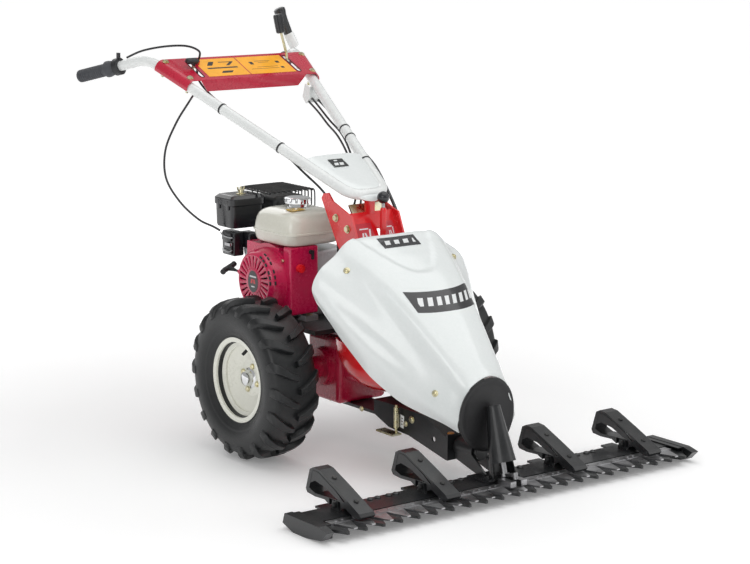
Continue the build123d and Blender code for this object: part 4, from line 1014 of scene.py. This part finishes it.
for i in range(1, 5):
    x = (-456, -202, 202, 456)[i - 1]
    heads = []
    for side in (-1, 1):
        heads.append(hex_head((x + side * 24, -600, 48), (side, 0, 0), 11, 3.6, 7.5))
    heads.append(lathe([(0, 6.5), (2, 6.5), (3.5, 4.5), (3.6, 0.1)], (x, -655, 66.2), (0, -0.41, 0.91), 24))
    heads.append(lathe([(0, 6.5), (2, 6.5), (3.5, 4.5), (3.6, 0.1)], (x, -570, 102.8), (0, -0.41, 0.91), 24))
    webs = []
    for side in (-1, 1):
        rings = [[at(x + side * w, y, z) for y, z in WEB] for w in (17.5, 20.5)]
        webs.append(rings_to_mesh(rings))
    as_piece(f"holder_webs_{i}", joined(webs), f"holder_{i}", "black_paint", smooth=25)
    as_piece(f"holder_bolts_{i}", joined(heads), f"holder_{i}", "black_steel", smooth=28)
picture = marked_plate("bracket_picture", (0.52, 0.004, 0.02), [((0.80, 0.80, 0.82), [
    ((0.3, 0.3), (0.05, 0.16), 0.2), ((0.5, 0.3), (0.05, 0.16), -0.2), ((0.4, 0.12), (0.3, 0.03)),
    ((0.45, 0.68), (0.28, 0.035), 0.6), ((0.78, 0.45), (0.05, 0.2), 0.2)])])
slope = Vector((0, 68, 123)).normalized()
outward = Vector((0, -123, 68)).normalized()
low_edge = Vector((0, -164, 503)) + slope * 62 + outward * 0.5
plate_on("bracket_picture_left", low_edge + Vector((-58, 0, 0)), (50, 0, 0), slope * 48, "chassis", picture)
plate_on("bracket_picture_right", low_edge + Vector((34, 0, 0)), (28, 0, 0), slope * 48, "chassis", picture)
latch_plate = mesh_of("latch", [at(*p) for x in (-52, 52) for p in ((x, -92.6, 624.6), (x, -76.4, 645.8), (x, -73.0, 643.6),
                                                                      (x, -88.4, 621.8))],
                      [(0, 1, 2, 3), (7, 6, 5, 4), (0, 4, 5, 1), (1, 5, 6, 2), (2, 6, 7, 3), (3, 7, 4, 0)])
bevelled(as_piece("latch_zinc", latch_plate, "chassis", "zinc", smooth=25), 0.6)
guard_bolt = [hex_head((x, -631, 44), (0, 0, 1), 10, 6, 6.5) for x in (-42, 42)]
as_piece("drive_guard_bolts", joined(guard_bolt), "bar", "black_steel", smooth=25)

# ---------------------------------------------------------------- camera, light and floor
def camera():
    data = bpy.data.cameras.new("view_camera")
    data.sensor_width = 36.0
    data.lens = 101.52
    data.clip_end = 50.0
    view = bpy.data.objects.new("view_camera", data)
    scene.collection.objects.link(view)
    azimuth, elevation, roll = math.radians(-37.177), math.radians(-10.898), math.radians(0.284)
    forward = Vector((-math.sin(azimuth) * math.cos(elevation), math.cos(azimuth) * math.cos(elevation),
                      math.sin(elevation)))
    right = Vector((math.cos(azimuth), math.sin(azimuth), 0))
    up = right.cross(forward)
    right, up = right * math.cos(roll) + up * math.sin(roll), up * math.cos(roll) - right * math.sin(roll)
    turn = Matrix((right, up, -forward)).transposed()
    view.matrix_world = Matrix.Translation(at(-3245.7, -4400.3, 1478.7)) @ turn.to_4x4()
    scene.camera = view


camera()


def area_light(name, place, target, size, power, tint=(1, 1, 1)):
    data = bpy.data.lights.new(name, "AREA")
    data.shape = "RECTANGLE"
    data.size, data.size_y = size
    data.energy = power
    data.color = tint
    lamp = bpy.data.objects.new(name, data)
    scene.collection.objects.link(lamp)
    lamp.location = place
    lamp.rotation_euler = (Vector(target) - Vector(place)).to_track_quat("-Z", "Y").to_euler()


area_light("soft_top", (0.6, -0.6, 3.6), (0, 0, 0.3), (4.0, 4.0), 62)
area_light("left_front", (-3.4, -2.6, 2.4), (0, 0, 0.4), (2.4, 2.4), 36)
area_light("right_front", (3.2, -3.0, 2.2), (0, -0.2, 0.4), (2.4, 2.4), 20)
area_light("behind", (0.5, 3.6, 2.6), (0, 0, 0.5), (3.0, 2.0), 26)

world = bpy.data.worlds.new("studio")
scene.world = world
world.use_nodes = True
sky = world.node_tree.nodes["Background"]
sky.inputs["Color"].default_value = (1.0, 1.0, 1.0, 1.0)
seen = world.node_tree.nodes.new("ShaderNodeLightPath").outputs["Is Camera Ray"]
world.node_tree.links.new(spread(world.node_tree, seen, 0.0, 1.0, 0.42, 1.0), sky.inputs["Strength"])
scene.view_settings.view_transform = "Standard"
scene.view_settings.look = "None"


def floor():
    size = 30.0
    mesh = mesh_of("floor", [(-size, -size, 0), (size, -size, 0), (size, size, 0), (-size, size, 0)], [(0, 1, 2, 3)])
    piece = bpy.data.objects.new("floor", mesh)
    scene.collection.objects.link(piece)
    material, tree, surface = shader("studio_floor_painted_glow")
    tone = placed(tree, MOTTLE, Tone_A=(0.90, 0.90, 0.90), Tone_B=(0.93, 0.93, 0.93), Broad_Scale=0.4, Fine_Scale=3.0)
    tree.links.new(tone.outputs["Colour"], surface.inputs["Base Color"])
    surface.inputs["Roughness"].default_value = 0.7
    # painted light: the floor glows, dim near the machine so the shadows under it stay, and brighter farther out so the
    # far floor reads white
    place = tree.nodes.new("ShaderNodeTexCoord").outputs["Object"]
    away = tree.nodes.new("ShaderNodeVectorMath")
    away.operation = "LENGTH"
    tree.links.new(place, away.inputs[0])
    lift = spread(tree, away.outputs["Value"], 0.8, 3.4)
    tree.links.new(blend_colour(tree, lift, (0.16, 0.16, 0.16), (0.62, 0.62, 0.62)), surface.inputs["Emission Color"])
    surface.inputs["Emission Strength"].default_value = 1.0
    mesh.materials.append(material)


floor()

# ---------------------------------------------------------------- CAD pieces keep their shape and get a finish
slot_of = {row["node"]: row["material_slot"] for row in frame["record"]["subparts"]}
for name, node in nodes.items():
    node.data.materials.clear()
    node.data.materials.append(FINISH[slot_of[name]])
